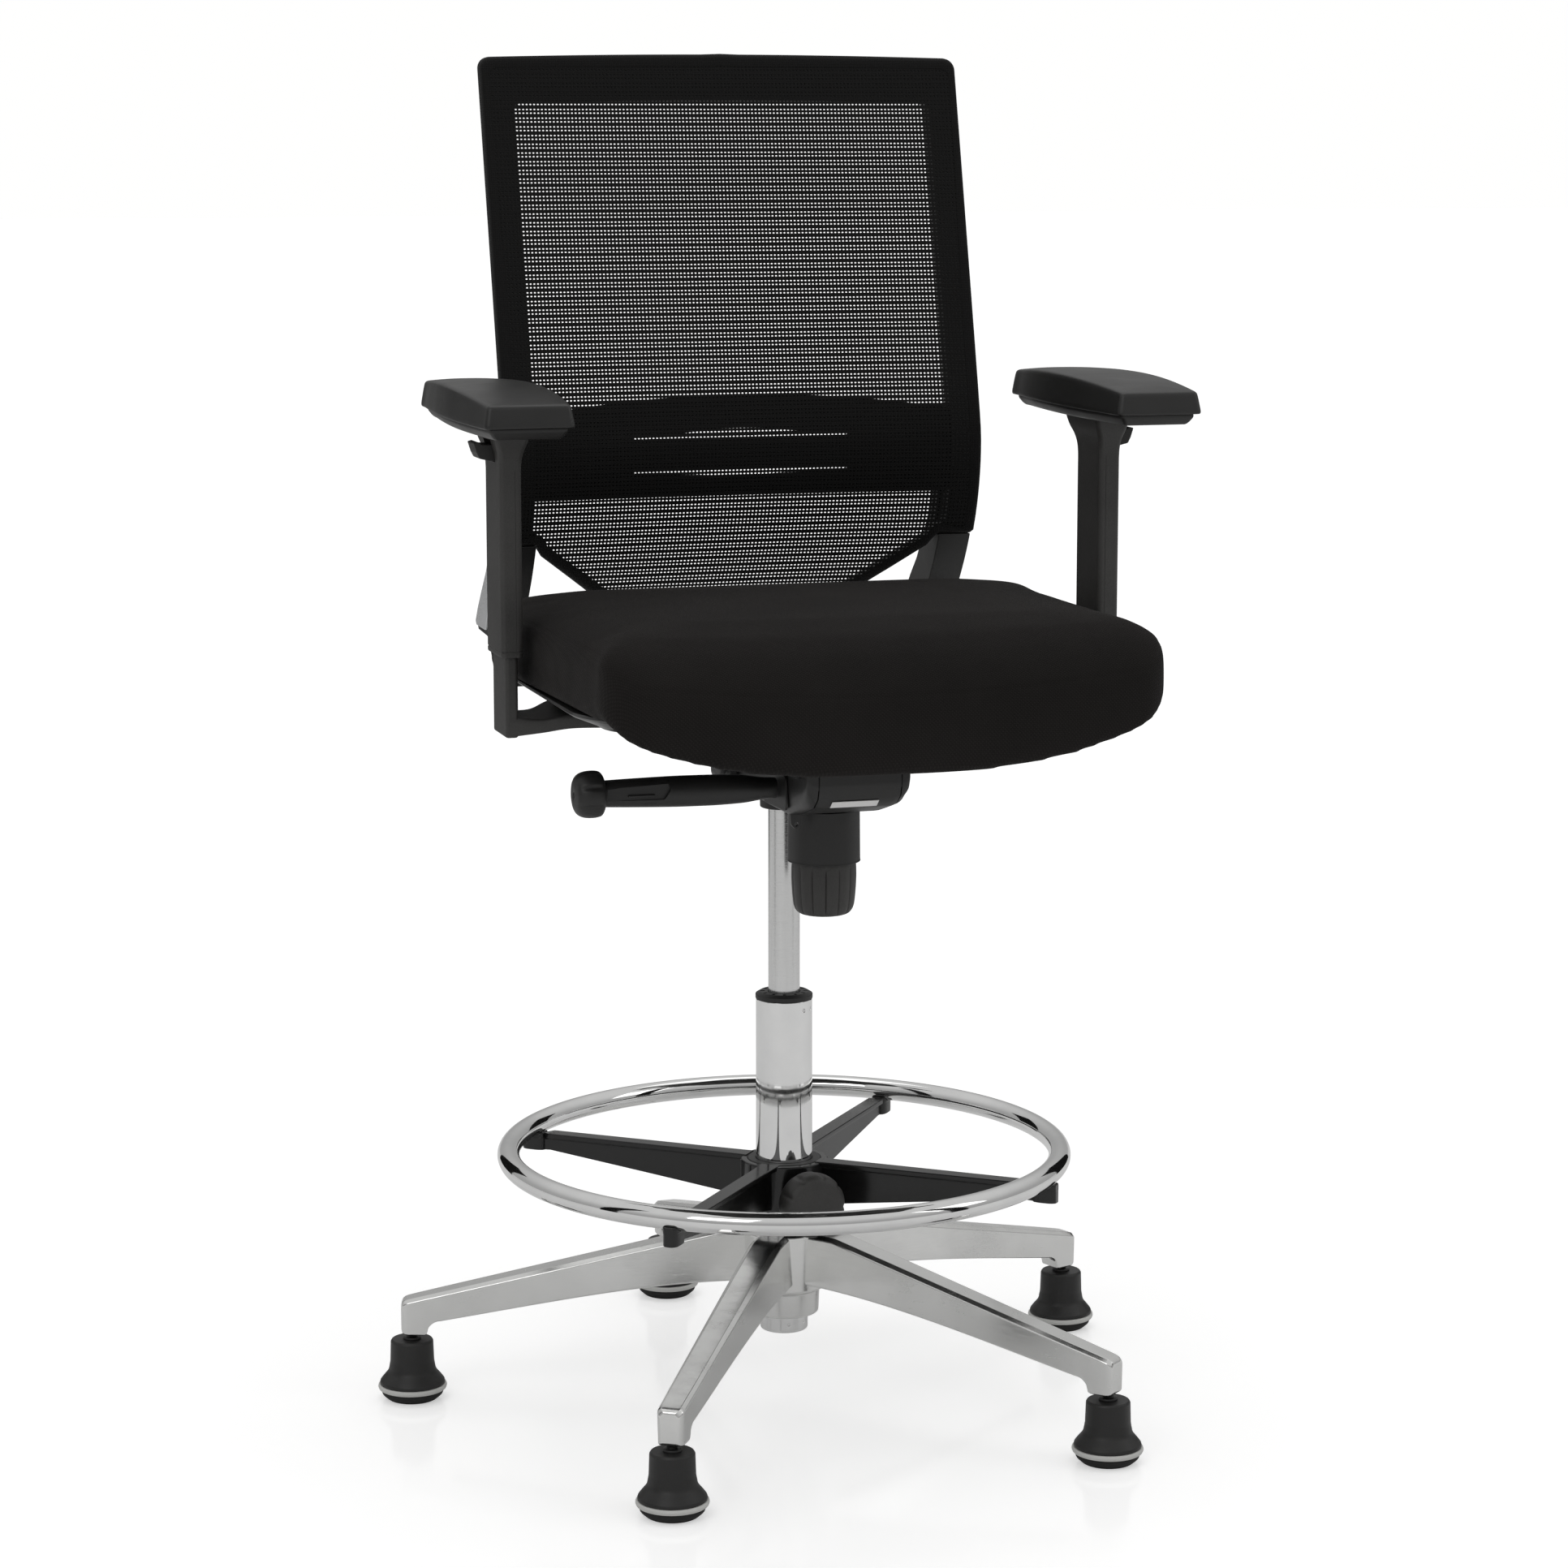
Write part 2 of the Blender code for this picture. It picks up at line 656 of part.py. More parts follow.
def top_drop(y):
    """The waterfall at the front edge, and a slight fall to the rear."""
    t = max(0.0, (-0.2490 - y) / 0.0775)
    return 0.0340 * t ** 2.8 + 0.0140 * smoothstep((y + 0.0500) / 0.2000)


def seat_cushion(tilt):
    rings = []
    for inset, rise in ((0.0600, 0.0), (0.0420, 0.0), (0.0300, 0.0), (0.0060, 0.0), (0.0, 0.0110)):
        rings.append([(x, y, SEAT_BOTTOM_Z - lip_depth(x, y) + rise) for x, y in seat_outline(inset)])
    top = ((0.0, 0.0200), (0.0036, 0.0080), (0.0140, 0.0020), (0.0340, -0.0015), (0.0800, -0.0050))
    for inset, drop in top + ((0.1300, -0.0052), (0.2050, -0.0054)):
        rings.append([(x, y, SEAT_TOP_Z - drop - top_drop(y)) for x, y in seat_outline(inset)])
    place(evaluated_smooth(loft("seat_cushion", rings)), tilt, mat=FABRIC)


def evaluated_smooth(obj):
    obj.data.shade_smooth()
    return obj


def seat_structure(root, tilt):
    rings = []
    for z, d in ((0.6431, 0.0260), (0.6450, 0.0240), (0.6545, 0.0020), (0.6560, 0.0), (0.6586, 0.0)):
        edge = rounded_box(-0.2390 + d, 0.2390 - d, -0.2720 + d, 0.1420 - d, 0.075 - d, 0.095 - d, 6)
        rings.append([(x, y, z) for x, y in edge])
    place(loft("seat_pan", rings), tilt, mat=BLACK)

    plate = box("seat_plate", (-0.1050, -0.2060, 0.6160), (0.1050, 0.0900, 0.6200))
    place(plate, tilt, mat=STEEL)
    for sign, name in ((-1, "r"), (1, "l")):
        low, high = sorted((sign * 0.0456, sign * 0.0506))
        ear = place(box("seat_ear_" + name, (low, -0.2050, 0.5950), (high, -0.1750, 0.6170)), root)
        combine(plate, ear, "UNION")
        low, high = sorted((sign * 0.0780, sign * 0.0900))
        rail = place(box("plate_rail_" + name, (low, -0.1900, 0.6190), (high, 0.0800, 0.6428)), root)
        combine(plate, rail, "UNION")
    hole = place(rod("ear_hole", (-0.08, -0.19, 0.603), (0.08, -0.19, 0.603), 0.0043, 16), root)
    combine(plate, hole, "DIFFERENCE")
    evaluated(plate)


# ---------------------------------------------------------------- arms

def section_x(x, z0, z1, y0, y1, r=0.004, n=2):
    """A rounded section in the plane of constant x."""
    return [(x, y, z) for y, z in rounded_box(y0, y1, z0, z1, r, r, n)]


def arm_bracket(name, sign, root, tilt):
    """Flat post beside the seat and the foot that carries it in under the seat pan."""
    rings = [
        section_x(sign * 0.1250, 0.6305, 0.6427, -0.1180, 0.0050),
        section_x(sign * 0.1800, 0.6300, 0.6427, -0.1150, 0.0020),
        section_x(sign * 0.2140, 0.6290, 0.6420, -0.1040, -0.0140),
        section_x(sign * 0.2380, 0.6255, 0.6375, -0.0985, -0.0330),
        section_x(sign * (POST_X + POST_HALF_W - 0.0020), 0.6220, 0.6400, POST_Y - POST_HALF_D, POST_Y + POST_HALF_D),
    ]
    foot = place(loft(name + "_foot", rings), root)
    points = rounded_box(
        sign * POST_X - POST_HALF_W,
        sign * POST_X + POST_HALF_W,
        POST_Y - POST_HALF_D,
        POST_Y + POST_HALF_D,
        0.003,
        0.003,
        2,
    )
    middle = (0.6220 + 0.7900) / 2
    post = outline_solid(name, points, 0.7900 - 0.6220, facing_z(middle))
    place(post, tilt, mat=BLACK)
    combine(post, foot, "UNION")
    evaluated(post, 28)


def sleeve_ring(sign, z, grow_in, grow_out, grow_front, grow_rear, r=0.0045):
    inner = POST_X - SLEEVE_HALF_W - grow_in
    outer = POST_X + SLEEVE_HALF_W + grow_out
    x0, x1 = sorted((sign * inner, sign * outer))
    y0 = POST_Y - SLEEVE_HALF_D - grow_front
    y1 = POST_Y + SLEEVE_HALF_D + grow_rear
    return [(x, y, z) for x, y in rounded_box(x0, x1, y0, y1, r, r, 3)]


def arm_sleeve(name, sign, root, rise):
    """Height-adjusting sleeve that flares into the head under the arm pad."""
    rings = [
        sleeve_ring(sign, SLEEVE_BOTTOM_Z, -0.0015, -0.0015, -0.0015, -0.0015),
        sleeve_ring(sign, SLEEVE_BOTTOM_Z + 0.003, 0, 0, 0, 0),
        sleeve_ring(sign, 0.8480, 0, 0, 0, 0),
        sleeve_ring(sign, 0.8560, 0.0012, 0.0008, 0.0020, 0.0030),
        sleeve_ring(sign, 0.8680, 0.0045, 0.0040, 0.0065, 0.0100),
        sleeve_ring(sign, HEAD_TOP_Z, 0.0060, 0.0055, 0.0080, 0.0140),
    ]
    sleeve = place(loft(name, rings), rise, mat=BLACK)
    x0, x1 = sorted((sign * (POST_X - POST_HALF_W - 0.0006), sign * (POST_X + POST_HALF_W + 0.0006)))
    y0, y1 = POST_Y - POST_HALF_D - 0.0006, POST_Y + POST_HALF_D + 0.0006
    cavity = box(name + "_cavity", (x0, y0, 0.60), (x1, y1, 0.8450))
    combine(sleeve, place(cavity, root), "DIFFERENCE")
    x0, x1 = sorted((sign * 0.2655, sign * 0.3000))
    pocket = box(name + "_pocket", (x0, POST_Y - 0.0135, 0.8520), (x1, POST_Y + 0.0135, 0.8705))
    combine(sleeve, place(pocket, root), "DIFFERENCE")
    evaluated(sleeve, 28)


def arm_button(name, sign, press):
    """Height button: a short hooked tab on the outer side of the head."""
    side = [
        (0.2690, 0.8525),
        (0.2800, 0.8535),
        (0.2865, 0.8550),
        (0.2890, 0.8600),
        (0.2915, 0.8680),
        (0.2880, 0.8690),
        (0.2840, 0.8668),
        (0.2690, 0.8665),
    ]
    points = [(sign * x, z) for x, z in side]
    if sign < 0:
        points.reverse()
    place(outline_solid(name, points, 0.0255, facing_y(POST_Y)), press, mat=BLACK)


def pad_outline(sign, inset, stations=9):
    """Arm pad plan: straight front, slightly barrelled sides, rounded rear."""
    front, rear = PAD_FRONT_Y + inset, PAD_REAR_Y - inset
    side = []
    for i in range(stations):
        t = i / (stations - 1)
        side.append((half_width(t) - inset, front + 0.004 + (rear - front - 0.014) * t))
    plan = [(side[0][0] - 0.004, front)] + side
    plan.append((side[-1][0] - 0.010, rear - 0.0025))
    plan.append((side[-1][0] * 0.45, rear))
    left = [(-x, y) for x, y in reversed(plan)]
    return [(sign * PAD_X + x, y) for x, y in plan + left]


def half_width(t):
    """Half the arm pad's width along its length, front 0 to rear 1."""
    return 0.0375 + 0.0055 * math.sin(math.pi * min(1.0, t * 1.05)) - 0.0040 * t * t


def pad_crown(y):
    """Height of the arm pad's top edge: low at the front, highest a third from the rear."""
    t = (y - PAD_FRONT_Y) / (PAD_REAR_Y - PAD_FRONT_Y)
    return 0.9065 + 0.0310 * t - 0.0283 * t * t


def arm_pad(sign, slide):
    name = "l" if sign > 0 else "r"
    tray = []
    for z, inset in ((0.8787, 0.0100), (0.8800, 0.0085), (0.8845, 0.0050), (0.8872, 0.0050)):
        tray.append([(x, y, z) for x, y in pad_outline(sign, inset)])
    place(loft("arm_tray_" + name, tray), slide, mat=BLACK)
    pad = []
    for inset, share in ((0.0010, 0.0), (0.0, 0.10), (0.0026, 0.84), (0.0052, 0.97), (0.0110, 1.0), (0.0230, 1.07)):
        ring = []
        for x, y in pad_outline(sign, inset):
            top = pad_crown(y)
            ring.append((x, y, PAD_BOTTOM_Z + (top - PAD_BOTTOM_Z) * share))
        pad.append(ring)
    place(evaluated_smooth(loft("arm_pad_" + name, pad)), slide, mat=SOFT_BLACK)


# ---------------------------------------------------------------- back

def back_front(z):
    """Front of the back's side rails: a lumbar bulge, then a steady lean above it."""
    if z > LUMBAR_Z:
        return LUMBAR_Y + math.hypot(0.2620 * (z - LUMBAR_Z), 0.0040) - 0.0040
    return LUMBAR_Y + 3.0 * (LUMBAR_Z - z) ** 2


def back_surface(x, z):
    """Front of the back at any point: hollow between the rails, most at the lumbar height."""
    hollow = 0.0160 * max(0.0, min(1.0, (1.160 - z) / 0.300))
    return back_front(z) + hollow * (1 - (x / BACK_HALF_W) ** 2)


def back_slab(name, front, thickness, low_z, high_z, half_w, nx, nz):
    """A curved slab that follows the back's surface, `front` metres behind it."""
    bm = bmesh.new()
    layers = []
    for offset in (front, front + thickness):
        layer = []
        for j in range(nz + 1):
            z = low_z + (high_z - low_z) * j / nz
            row = []
            for i in range(nx + 1):
                x = half_w * (2 * i / nx - 1)
                row.append(bm.verts.new((x, back_surface(x, z) + offset, z)))
            layer.append(row)
        layers.append(layer)
    near, far = layers
    for j in range(nz):
        for i in range(nx):
            bm.faces.new((near[j][i], near[j][i + 1], near[j + 1][i + 1], near[j + 1][i]))
            bm.faces.new((far[j][i + 1], far[j][i], far[j + 1][i], far[j + 1][i + 1]))
    for i in range(nx):
        bm.faces.new((near[0][i + 1], near[0][i], far[0][i], far[0][i + 1]))
        bm.faces.new((near[nz][i], near[nz][i + 1], far[nz][i + 1], far[nz][i]))
    for j in range(nz):
        bm.faces.new((near[j][0], near[j + 1][0], far[j + 1][0], far[j][0]))
        bm.faces.new((near[j + 1][nx], near[j][nx], far[j][nx], far[j + 1][nx]))
    return from_bmesh(name, bm)


def arched_top(half_w, z, arch, r, n=4):
    """Points over the top from right to left: rounded corners and a slight arch."""
    points = []
    for i in range(n + 1):
        a = math.radians(90 * i / n)
        points.append((half_w - r + r * math.cos(a), z - r + r * math.sin(a)))
    for i in range(1, 8):
        x = (half_w - r) * (1 - 2 * i / 8)
        points.append((x, z + arch * (1 - (x / half_w) ** 2)))
    for i in range(n + 1):
        a = math.radians(90 + 90 * i / n)
        points.append((-half_w + r + r * math.cos(a), z - r + r * math.sin(a)))
    return points


def frame_outline():
    lower = [(-0.1870, RAIL_END_Z), (-0.1810, 0.7460), (-0.1200, 0.7010), (-0.1100, 0.6970)]
    upper = arched_top(BACK_HALF_W, BACK_TOP_Z, 0.0030, 0.0100)
    right = [(-x, z) for x, z in reversed(lower)]
    return upper + [(-BACK_HALF_W, RAIL_END_Z)] + lower + right + [(BACK_HALF_W, RAIL_END_Z)]


def opening_outline():
    upper = arched_top(0.1930, 1.1450, 0.0020, 0.0060)
    lower = [(-0.1930, 0.7720), (-0.1780, 0.7560), (-0.1160, 0.7105), (-0.1090, 0.7070)]
    right = [(-x, z) for x, z in reversed(lower)]
    return upper + lower + right


def back_panel(root, recline, lumbar):
    outer = outline_solid("frame_outline", frame_outline(), 0.40, facing_y(0.18))
    inner = outline_solid("frame_opening", opening_outline(), 0.40, facing_y(0.18))
    place(outer, root)
    place(inner, root)
    frame = back_slab("back_frame", MESH_T + GAP, FRAME_T, 0.6900, 1.2000, 0.2230, 8, 22)
    place(frame, recline, mat=BLACK)
    combine(frame, outer, "INTERSECT")
    combine(frame, inner, "DIFFERENCE")
    evaluated(frame, 28)

    sheet = back_slab("back_mesh", 0.0, MESH_T, 0.6900, 1.2000, 0.2230, 8, 22)
    place(sheet, recline, mat=MESH)
    combine(sheet, outer, "INTERSECT")
    evaluated(sheet, 28)

    panel = back_slab("lumbar_panel", 0.0065, 0.0060, 0.7900, 0.8950, 0.1924, 10, 7)
    place(panel, lumbar, mat=BLACK)
    shape = [(-0.1900, 0.7970), (0.1900, 0.7970), (0.1924, 0.8000), (0.1924, 0.8700), (0.1880, 0.8740)]
    for i in range(1, 10):
        x = 0.1880 * (1 - 2 * i / 10)
        shape.append((x, 0.8740 + 0.0140 * (1 - (x / 0.1880) ** 2)))
    shape.extend([(-0.1880, 0.8740), (-0.1924, 0.8700), (-0.1924, 0.8000)])
    crop = place(outline_solid("lumbar_outline", shape, 0.40, facing_y(0.18)), root)
    combine(panel, crop, "INTERSECT")
    for number, z in ((1, 0.8520), (2, 0.8205)):
        slot = place(box("lumbar_slot_%d" % number, (-0.0995, 0.0, z - 0.0022), (0.0995, 0.4, z + 0.0022)), root)
        combine(panel, slot, "DIFFERENCE")
    evaluated(panel, 28)


def upright_side():
    """Side view (y, z) of a lower upright: up behind the rail, down and round under the seat."""
    points = []
    for i in range(6):
        z = 0.8600 - (0.8600 - RAIL_END_Z + GAP) * i / 5
        points.append((back_surface(0.20, z) + MESH_T + FRAME_T + 0.0018, z))
    for i in range(7):
        z = RAIL_END_Z - GAP - (RAIL_END_Z - GAP - 0.7000) * i / 6
        points.append((back_front(z) + 0.0035, z))
    points.extend([(0.1785, 0.6880), (0.1765, 0.6700), (0.1710, 0.6520), (0.1640, 0.6424), (0.1640, 0.6270)])
    points.extend([(0.1780, 0.6330), (0.1900, 0.6500), (0.2070, 0.6685), (0.2470, 0.6705), (0.2520, 0.6760)])
    points.extend([(0.2400, 0.6930), (0.2220, 0.7120), (0.2040, 0.7290), (0.1660, 0.7790), (0.1480, 0.8300)])
    points.append((0.1450, 0.8600))
    return points


def back_structure(root, recline):
    for sign, name in ((-1, "r"), (1, "l")):
        x = sign * (0.1885 + 0.2190) / 2
        bar = outline_solid("back_upright_" + name, upright_side(), 0.2190 - 0.1885, facing_x(x))
        place(bar, recline, mat=BLACK)
        strip = [(0.2485, 0.6785), (0.2380, 0.6920), (0.2210, 0.7095), (0.2020, 0.7280), (0.1650, 0.7765)]
        strip += [(0.1465, 0.8290), (0.1445, 0.8560), (0.1400, 0.8540), (0.1420, 0.8250), (0.1550, 0.7740)]
        strip += [(0.1800, 0.7200), (0.1950, 0.6950), (0.2060, 0.6745), (0.2440, 0.6750)]
        x = sign * (0.2193 + 0.2215) / 2
        place(outline_solid("back_strip_" + name, strip, 0.0022, facing_x(x)), recline, mat=SILVER)

    rings = []
    for i in range(13):
        x = 0.1880 * (2 * i / 12 - 1)
        t = (abs(x) / 0.1880) ** 2
        y, z = 0.1220 + 0.0600 * t, 0.6000 + 0.0345 * t
        half_y, half_z = 0.0200 - 0.0040 * t, 0.0085 - 0.0010 * t
        rings.append(section_x(x, z - half_z, z + half_z, y - half_y, y + half_y, 0.003))
    yoke = place(loft("back_yoke", rings), recline, mat=STEEL)
    for sign, name in ((-1, "r"), (1, "l")):
        arm = [(-0.0140, 0.5640), (-0.0060, 0.5595), (0.0060, 0.5595), (0.1000, 0.5800), (0.1380, 0.5930)]
        arm += [(0.1380, 0.6040), (0.1050, 0.6040), (0.0850, 0.5940), (0.0060, 0.5865), (-0.0060, 0.5865)]
        arm.append((-0.0140, 0.5820))
        ear = place(outline_solid("yoke_ear_" + name, arm, 0.0070, facing_x(sign * 0.0500)), root)
        combine(yoke, ear, "UNION")
    hole = place(rod("yoke_hole", (-0.08, 0, 0.575), (0.08, 0, 0.575), 0.0053, 16), root)
    combine(yoke, hole, "DIFFERENCE")
    evaluated(yoke, 28)


# ---------------------------------------------------------------- assembly

def build():
    root = pivot("column_axis", (0, 0, 0))
    base_star(root)
    for index in range(len(LEG_ANGLES)):
        glide(index, root)
    lift = pivot("lift_axis", (0, 0, ROD_BOTTOM_Z), root)
    column(root, lift)

    ring_slide = pivot("footring_slide_axis", (0, 0, RING_Z), root)
    ring_spin = pivot("footring_spin_axis", (0, 0, RING_Z), ring_slide)
    a = math.radians(KNOB_ANGLE)
    screw = pivot("footring_screw_axis", (0.055 * math.cos(a), 0.055 * math.sin(a), KNOB_Z), ring_spin)
    foot_ring(root, ring_slide, ring_spin, screw)

    swivel = pivot("swivel_axis", (0, 0, SWIVEL_Z), lift)
    tension = pivot("tension_axis", (0, TENSION_Y, 0.5100), swivel)
    lever = pivot("lever_axis", LEVER_PIVOT, swivel)
    lever_spin = pivot("lever_spin_axis", (-0.2100, LEVER_PIVOT[1], LEVER_PIVOT[2] + 0.0018), lever)
    mechanism(root, swivel, tension, lever, lever_spin)

    tilt = pivot("seat_tilt_axis", SEAT_PIVOT, swivel)
    seat_structure(root, tilt)
    seat_cushion(tilt)
    for sign, name in ((-1, "r"), (1, "l")):
        arm_bracket("arm_bracket_" + name, sign, root, tilt)
        rise = pivot("arm_height_axis_" + name, (sign * POST_X, POST_Y, SLEEVE_BOTTOM_Z), tilt)
        arm_sleeve("arm_sleeve_" + name, sign, root, rise)
        press = pivot("arm_button_axis_" + name, (sign * 0.2780, POST_Y, 0.8600), rise)
        arm_button("arm_button_" + name, sign, press)
        slide = pivot("arm_pad_axis_" + name, (sign * PAD_X, POST_Y, HEAD_TOP_Z), rise)
        arm_pad(sign, slide)

    recline = pivot("recline_axis", BACK_PIVOT, swivel)
    lumbar = pivot("lumbar_axis", (0, 0.14, LUMBAR_Z), recline)
    back_structure(root, recline)
    back_panel(root, recline, lumbar)


build()
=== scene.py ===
"""Looks for the drafting chair: finished pieces, materials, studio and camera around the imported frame."""

import math

import bmesh
import bpy
import numpy as np
from mathutils import Matrix, Vector
from mathutils.bvhtree import BVHTree
from mathutils.kdtree import KDTree


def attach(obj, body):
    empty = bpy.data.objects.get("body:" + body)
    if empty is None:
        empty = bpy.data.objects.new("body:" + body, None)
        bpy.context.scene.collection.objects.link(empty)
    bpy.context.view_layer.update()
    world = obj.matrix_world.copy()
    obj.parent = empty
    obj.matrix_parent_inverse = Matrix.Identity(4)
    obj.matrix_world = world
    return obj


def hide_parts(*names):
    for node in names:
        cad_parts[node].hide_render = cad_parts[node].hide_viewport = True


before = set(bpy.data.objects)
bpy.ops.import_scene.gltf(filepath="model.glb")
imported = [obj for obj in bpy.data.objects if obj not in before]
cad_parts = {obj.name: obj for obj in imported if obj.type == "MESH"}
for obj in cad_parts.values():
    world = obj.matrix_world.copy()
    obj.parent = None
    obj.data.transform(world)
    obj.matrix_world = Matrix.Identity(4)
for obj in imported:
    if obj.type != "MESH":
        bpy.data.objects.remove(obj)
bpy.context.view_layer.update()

# Pieces are drawn from the column's foot, then moved here: the origin is under the middle of the outer box.
COLUMN = Vector((0.0066, -0.0151, 0.0))
SIDES = ((-1, "r"), (1, "l"))
UP = Vector((0, 0, 1))
SCENE = bpy.context.scene


# ---------------------------------------------------------------- camera and studio

CAMERA_FROM_COLUMN = Vector((-0.9907, -3.366, 1.1401))
CAMERA_PITCH, CAMERA_YAW = math.radians(80.548), math.radians(-16.4)
LENS_MM, SENSOR_MM = 93.03, 36.0


def make_camera():
    data = bpy.data.cameras.new("camera")
    data.lens = LENS_MM
    data.sensor_width = SENSOR_MM
    obj = bpy.data.objects.new("camera", data)
    obj.location = COLUMN + CAMERA_FROM_COLUMN
    obj.rotation_euler = (CAMERA_PITCH, 0.0, CAMERA_YAW)
    SCENE.collection.objects.link(obj)
    SCENE.camera = obj
    return obj


CAMERA = make_camera()
SCENE.view_settings.view_transform = "Standard"


# ---------------------------------------------------------------- node helpers

class Nodes:
    """Adds nodes to one tree. A value may be a number or another node's output."""

    def __init__(self, tree):
        self.tree = tree

    def add(self, kind, values=None, **settings):
        node = self.tree.nodes.new(kind)
        for key, value in settings.items():
            setattr(node, key, value)
        for key, value in (values or {}).items():
            self.put(node.inputs[key], value)
        return node

    def put(self, socket, value):
        if isinstance(value, bpy.types.NodeSocket):
            self.tree.links.new(value, socket)
        else:
            socket.default_value = value

    def math(self, operation, a, b=0.0):
        return self.add("ShaderNodeMath", {0: a, 1: b}, operation=operation).outputs[0]

    def plus(self, a, b):
        return self.math("ADD", a, b)

    def times(self, a, b):
        return self.math("MULTIPLY", a, b)

    def span(self, value, low, high, to_low, to_high, **settings):
        """Maps low..high to to_low..to_high."""
        values = {0: value, 1: low, 2: high, 3: to_low, 4: to_high}
        return self.add("ShaderNodeMapRange", values, **settings).outputs[0]

    def camera_ray(self):
        """1 for rays straight from the camera, 0 for reflections and bounced light."""
        return self.add("ShaderNodeLightPath").outputs["Is Camera Ray"]


class Surface(Nodes):
    """A small builder for one Principled material."""

    def __init__(self, name, metallic=0.0):
        self.mat = bpy.data.materials.new(name)
        self.mat.use_nodes = True
        super().__init__(self.mat.node_tree)
        self.shader = self.tree.nodes["Principled BSDF"]
        self.shader.inputs["Metallic"].default_value = metallic
        self.coords = self.add("ShaderNodeTexCoord").outputs["Object"]

    def axes(self):
        node = self.add("ShaderNodeSeparateXYZ", {0: self.coords})
        return node.outputs[0], node.outputs[1], node.outputs[2]

    def noise(self, scale, detail=3.0, rough=0.55, stretch=None, distortion=0.0):
        vector = self.coords
        if stretch:
            vector = self.add("ShaderNodeMapping", {0: self.coords, 3: stretch}).outputs[0]
        return self.add("ShaderNodeTexNoise", {
            "Vector": vector, "Scale": scale, "Detail": detail, "Roughness": rough, "Distortion": distortion,
        }).outputs["Fac"]

    def cells(self, scale):
        values = {"Vector": self.coords, "Scale": scale}
        return self.add("ShaderNodeTexVoronoi", values).outputs["Distance"]

    def mix(self, share, first, second):
        node = self.add("ShaderNodeMix", data_type="RGBA")
        for socket, value in ((node.inputs[0], share), (node.inputs[6], first), (node.inputs[7], second)):
            if isinstance(value, tuple) and len(value) == 3:
                value = (*value, 1.0)
            self.put(socket, value)
        return node.outputs[2]

    def color(self, value):
        self.put(self.shader.inputs["Base Color"], value)

    def rough(self, value):
        self.put(self.shader.inputs["Roughness"], value)

    def bump(self, height, distance, strength=1.0, under=None):
        values = {"Height": height, "Distance": distance, "Strength": strength}
        if under is not None:
            values["Normal"] = under
        node = self.add("ShaderNodeBump", values)
        self.put(self.shader.inputs["Normal"], node.outputs[0])
        return node.outputs[0]

    def fixed(self, **values):
        for key, value in values.items():
            self.shader.inputs[key.replace("_", " ")].default_value = value


def chrome_material():
    s = Surface("chrome_plate", 1.0)
    haze = s.noise(26.0, 4.0, 0.6)
    specks = s.noise(900.0, 2.0, 0.5)
    s.color(s.mix(s.span(haze, 0.35, 0.7, 0.0, 1.0), (0.86, 0.86, 0.855), (0.8, 0.8, 0.8)))
    s.rough(s.plus(s.span(haze, 0.3, 0.75, 0.035, 0.075), s.span(specks, 0.62, 0.8, 0.0, 0.05)))
    s.bump(s.noise(60.0, 2.0), 0.00002, 0.25)
    return s.mat


def rod_material():
    s = Surface("ground_steel", 1.0)
    rings = s.noise(30.0, 3.0, 0.7, stretch=(2.0, 2.0, 60.0))
    streaks = s.noise(40.0, 3.0, 0.6, stretch=(6.0, 6.0, 0.3))
    s.color(s.mix(streaks, (0.78, 0.78, 0.775), (0.66, 0.66, 0.66)))
    s.rough(s.span(rings, 0.3, 0.7, 0.16, 0.3))
    s.bump(rings, 0.00002, 0.35)
    s.fixed(Anisotropic=0.45)
    return s.mat


def polished_material():
    s = Surface("polished_cast_aluminium", 1.0)
    cloud = s.noise(9.0, 5.0, 0.62, distortion=0.4)
    brush = s.noise(55.0, 4.0, 0.7, stretch=(1.0, 1.0, 9.0))
    pits = s.noise(520.0, 2.0, 0.6)
    s.color(s.mix(s.span(cloud, 0.3, 0.7, 0.0, 1.0), (0.83, 0.83, 0.82), (0.72, 0.72, 0.71)))
    base = s.span(cloud, 0.3, 0.72, 0.14, 0.27)
    s.rough(s.plus(base, s.span(brush, 0.45, 0.75, 0.0, 0.09)))
    low = s.bump(s.noise(24.0, 3.0), 0.0002, 0.25)
    low = s.bump(brush, 0.00004, 0.3, low)
    s.bump(pits, 0.00004, 0.25, low)
    return s.mat


def plastic_material(name, dark, light, r_low, r_high, grain=1500.0, depth=0.00006, strength=0.5):
    """Moulded plastic: spark-eroded grain, slow colour drift and rubbed patches."""
    s = Surface(name)
    drift = s.noise(14.0, 4.0, 0.6)
    fine = s.noise(grain, 2.0, 0.6)
    rub = s.noise(38.0, 5.0, 0.7)
    tone = s.plus(s.times(drift, 0.6), s.times(fine, 0.4))
    s.color(s.mix(s.span(tone, 0.35, 0.65, 0.0, 1.0), dark, light))
    s.rough(s.plus(s.span(drift, 0.3, 0.7, r_low, r_high), s.span(rub, 0.6, 0.8, 0.0, -0.06)))
    low = s.bump(s.cells(grain * 0.55), depth, strength)
    s.bump(fine, depth * 0.7, strength, low)
    return s.mat


LOZENGE, RIB, STITCH = 0.0023 / 0.72, 0.0011, 0.0017


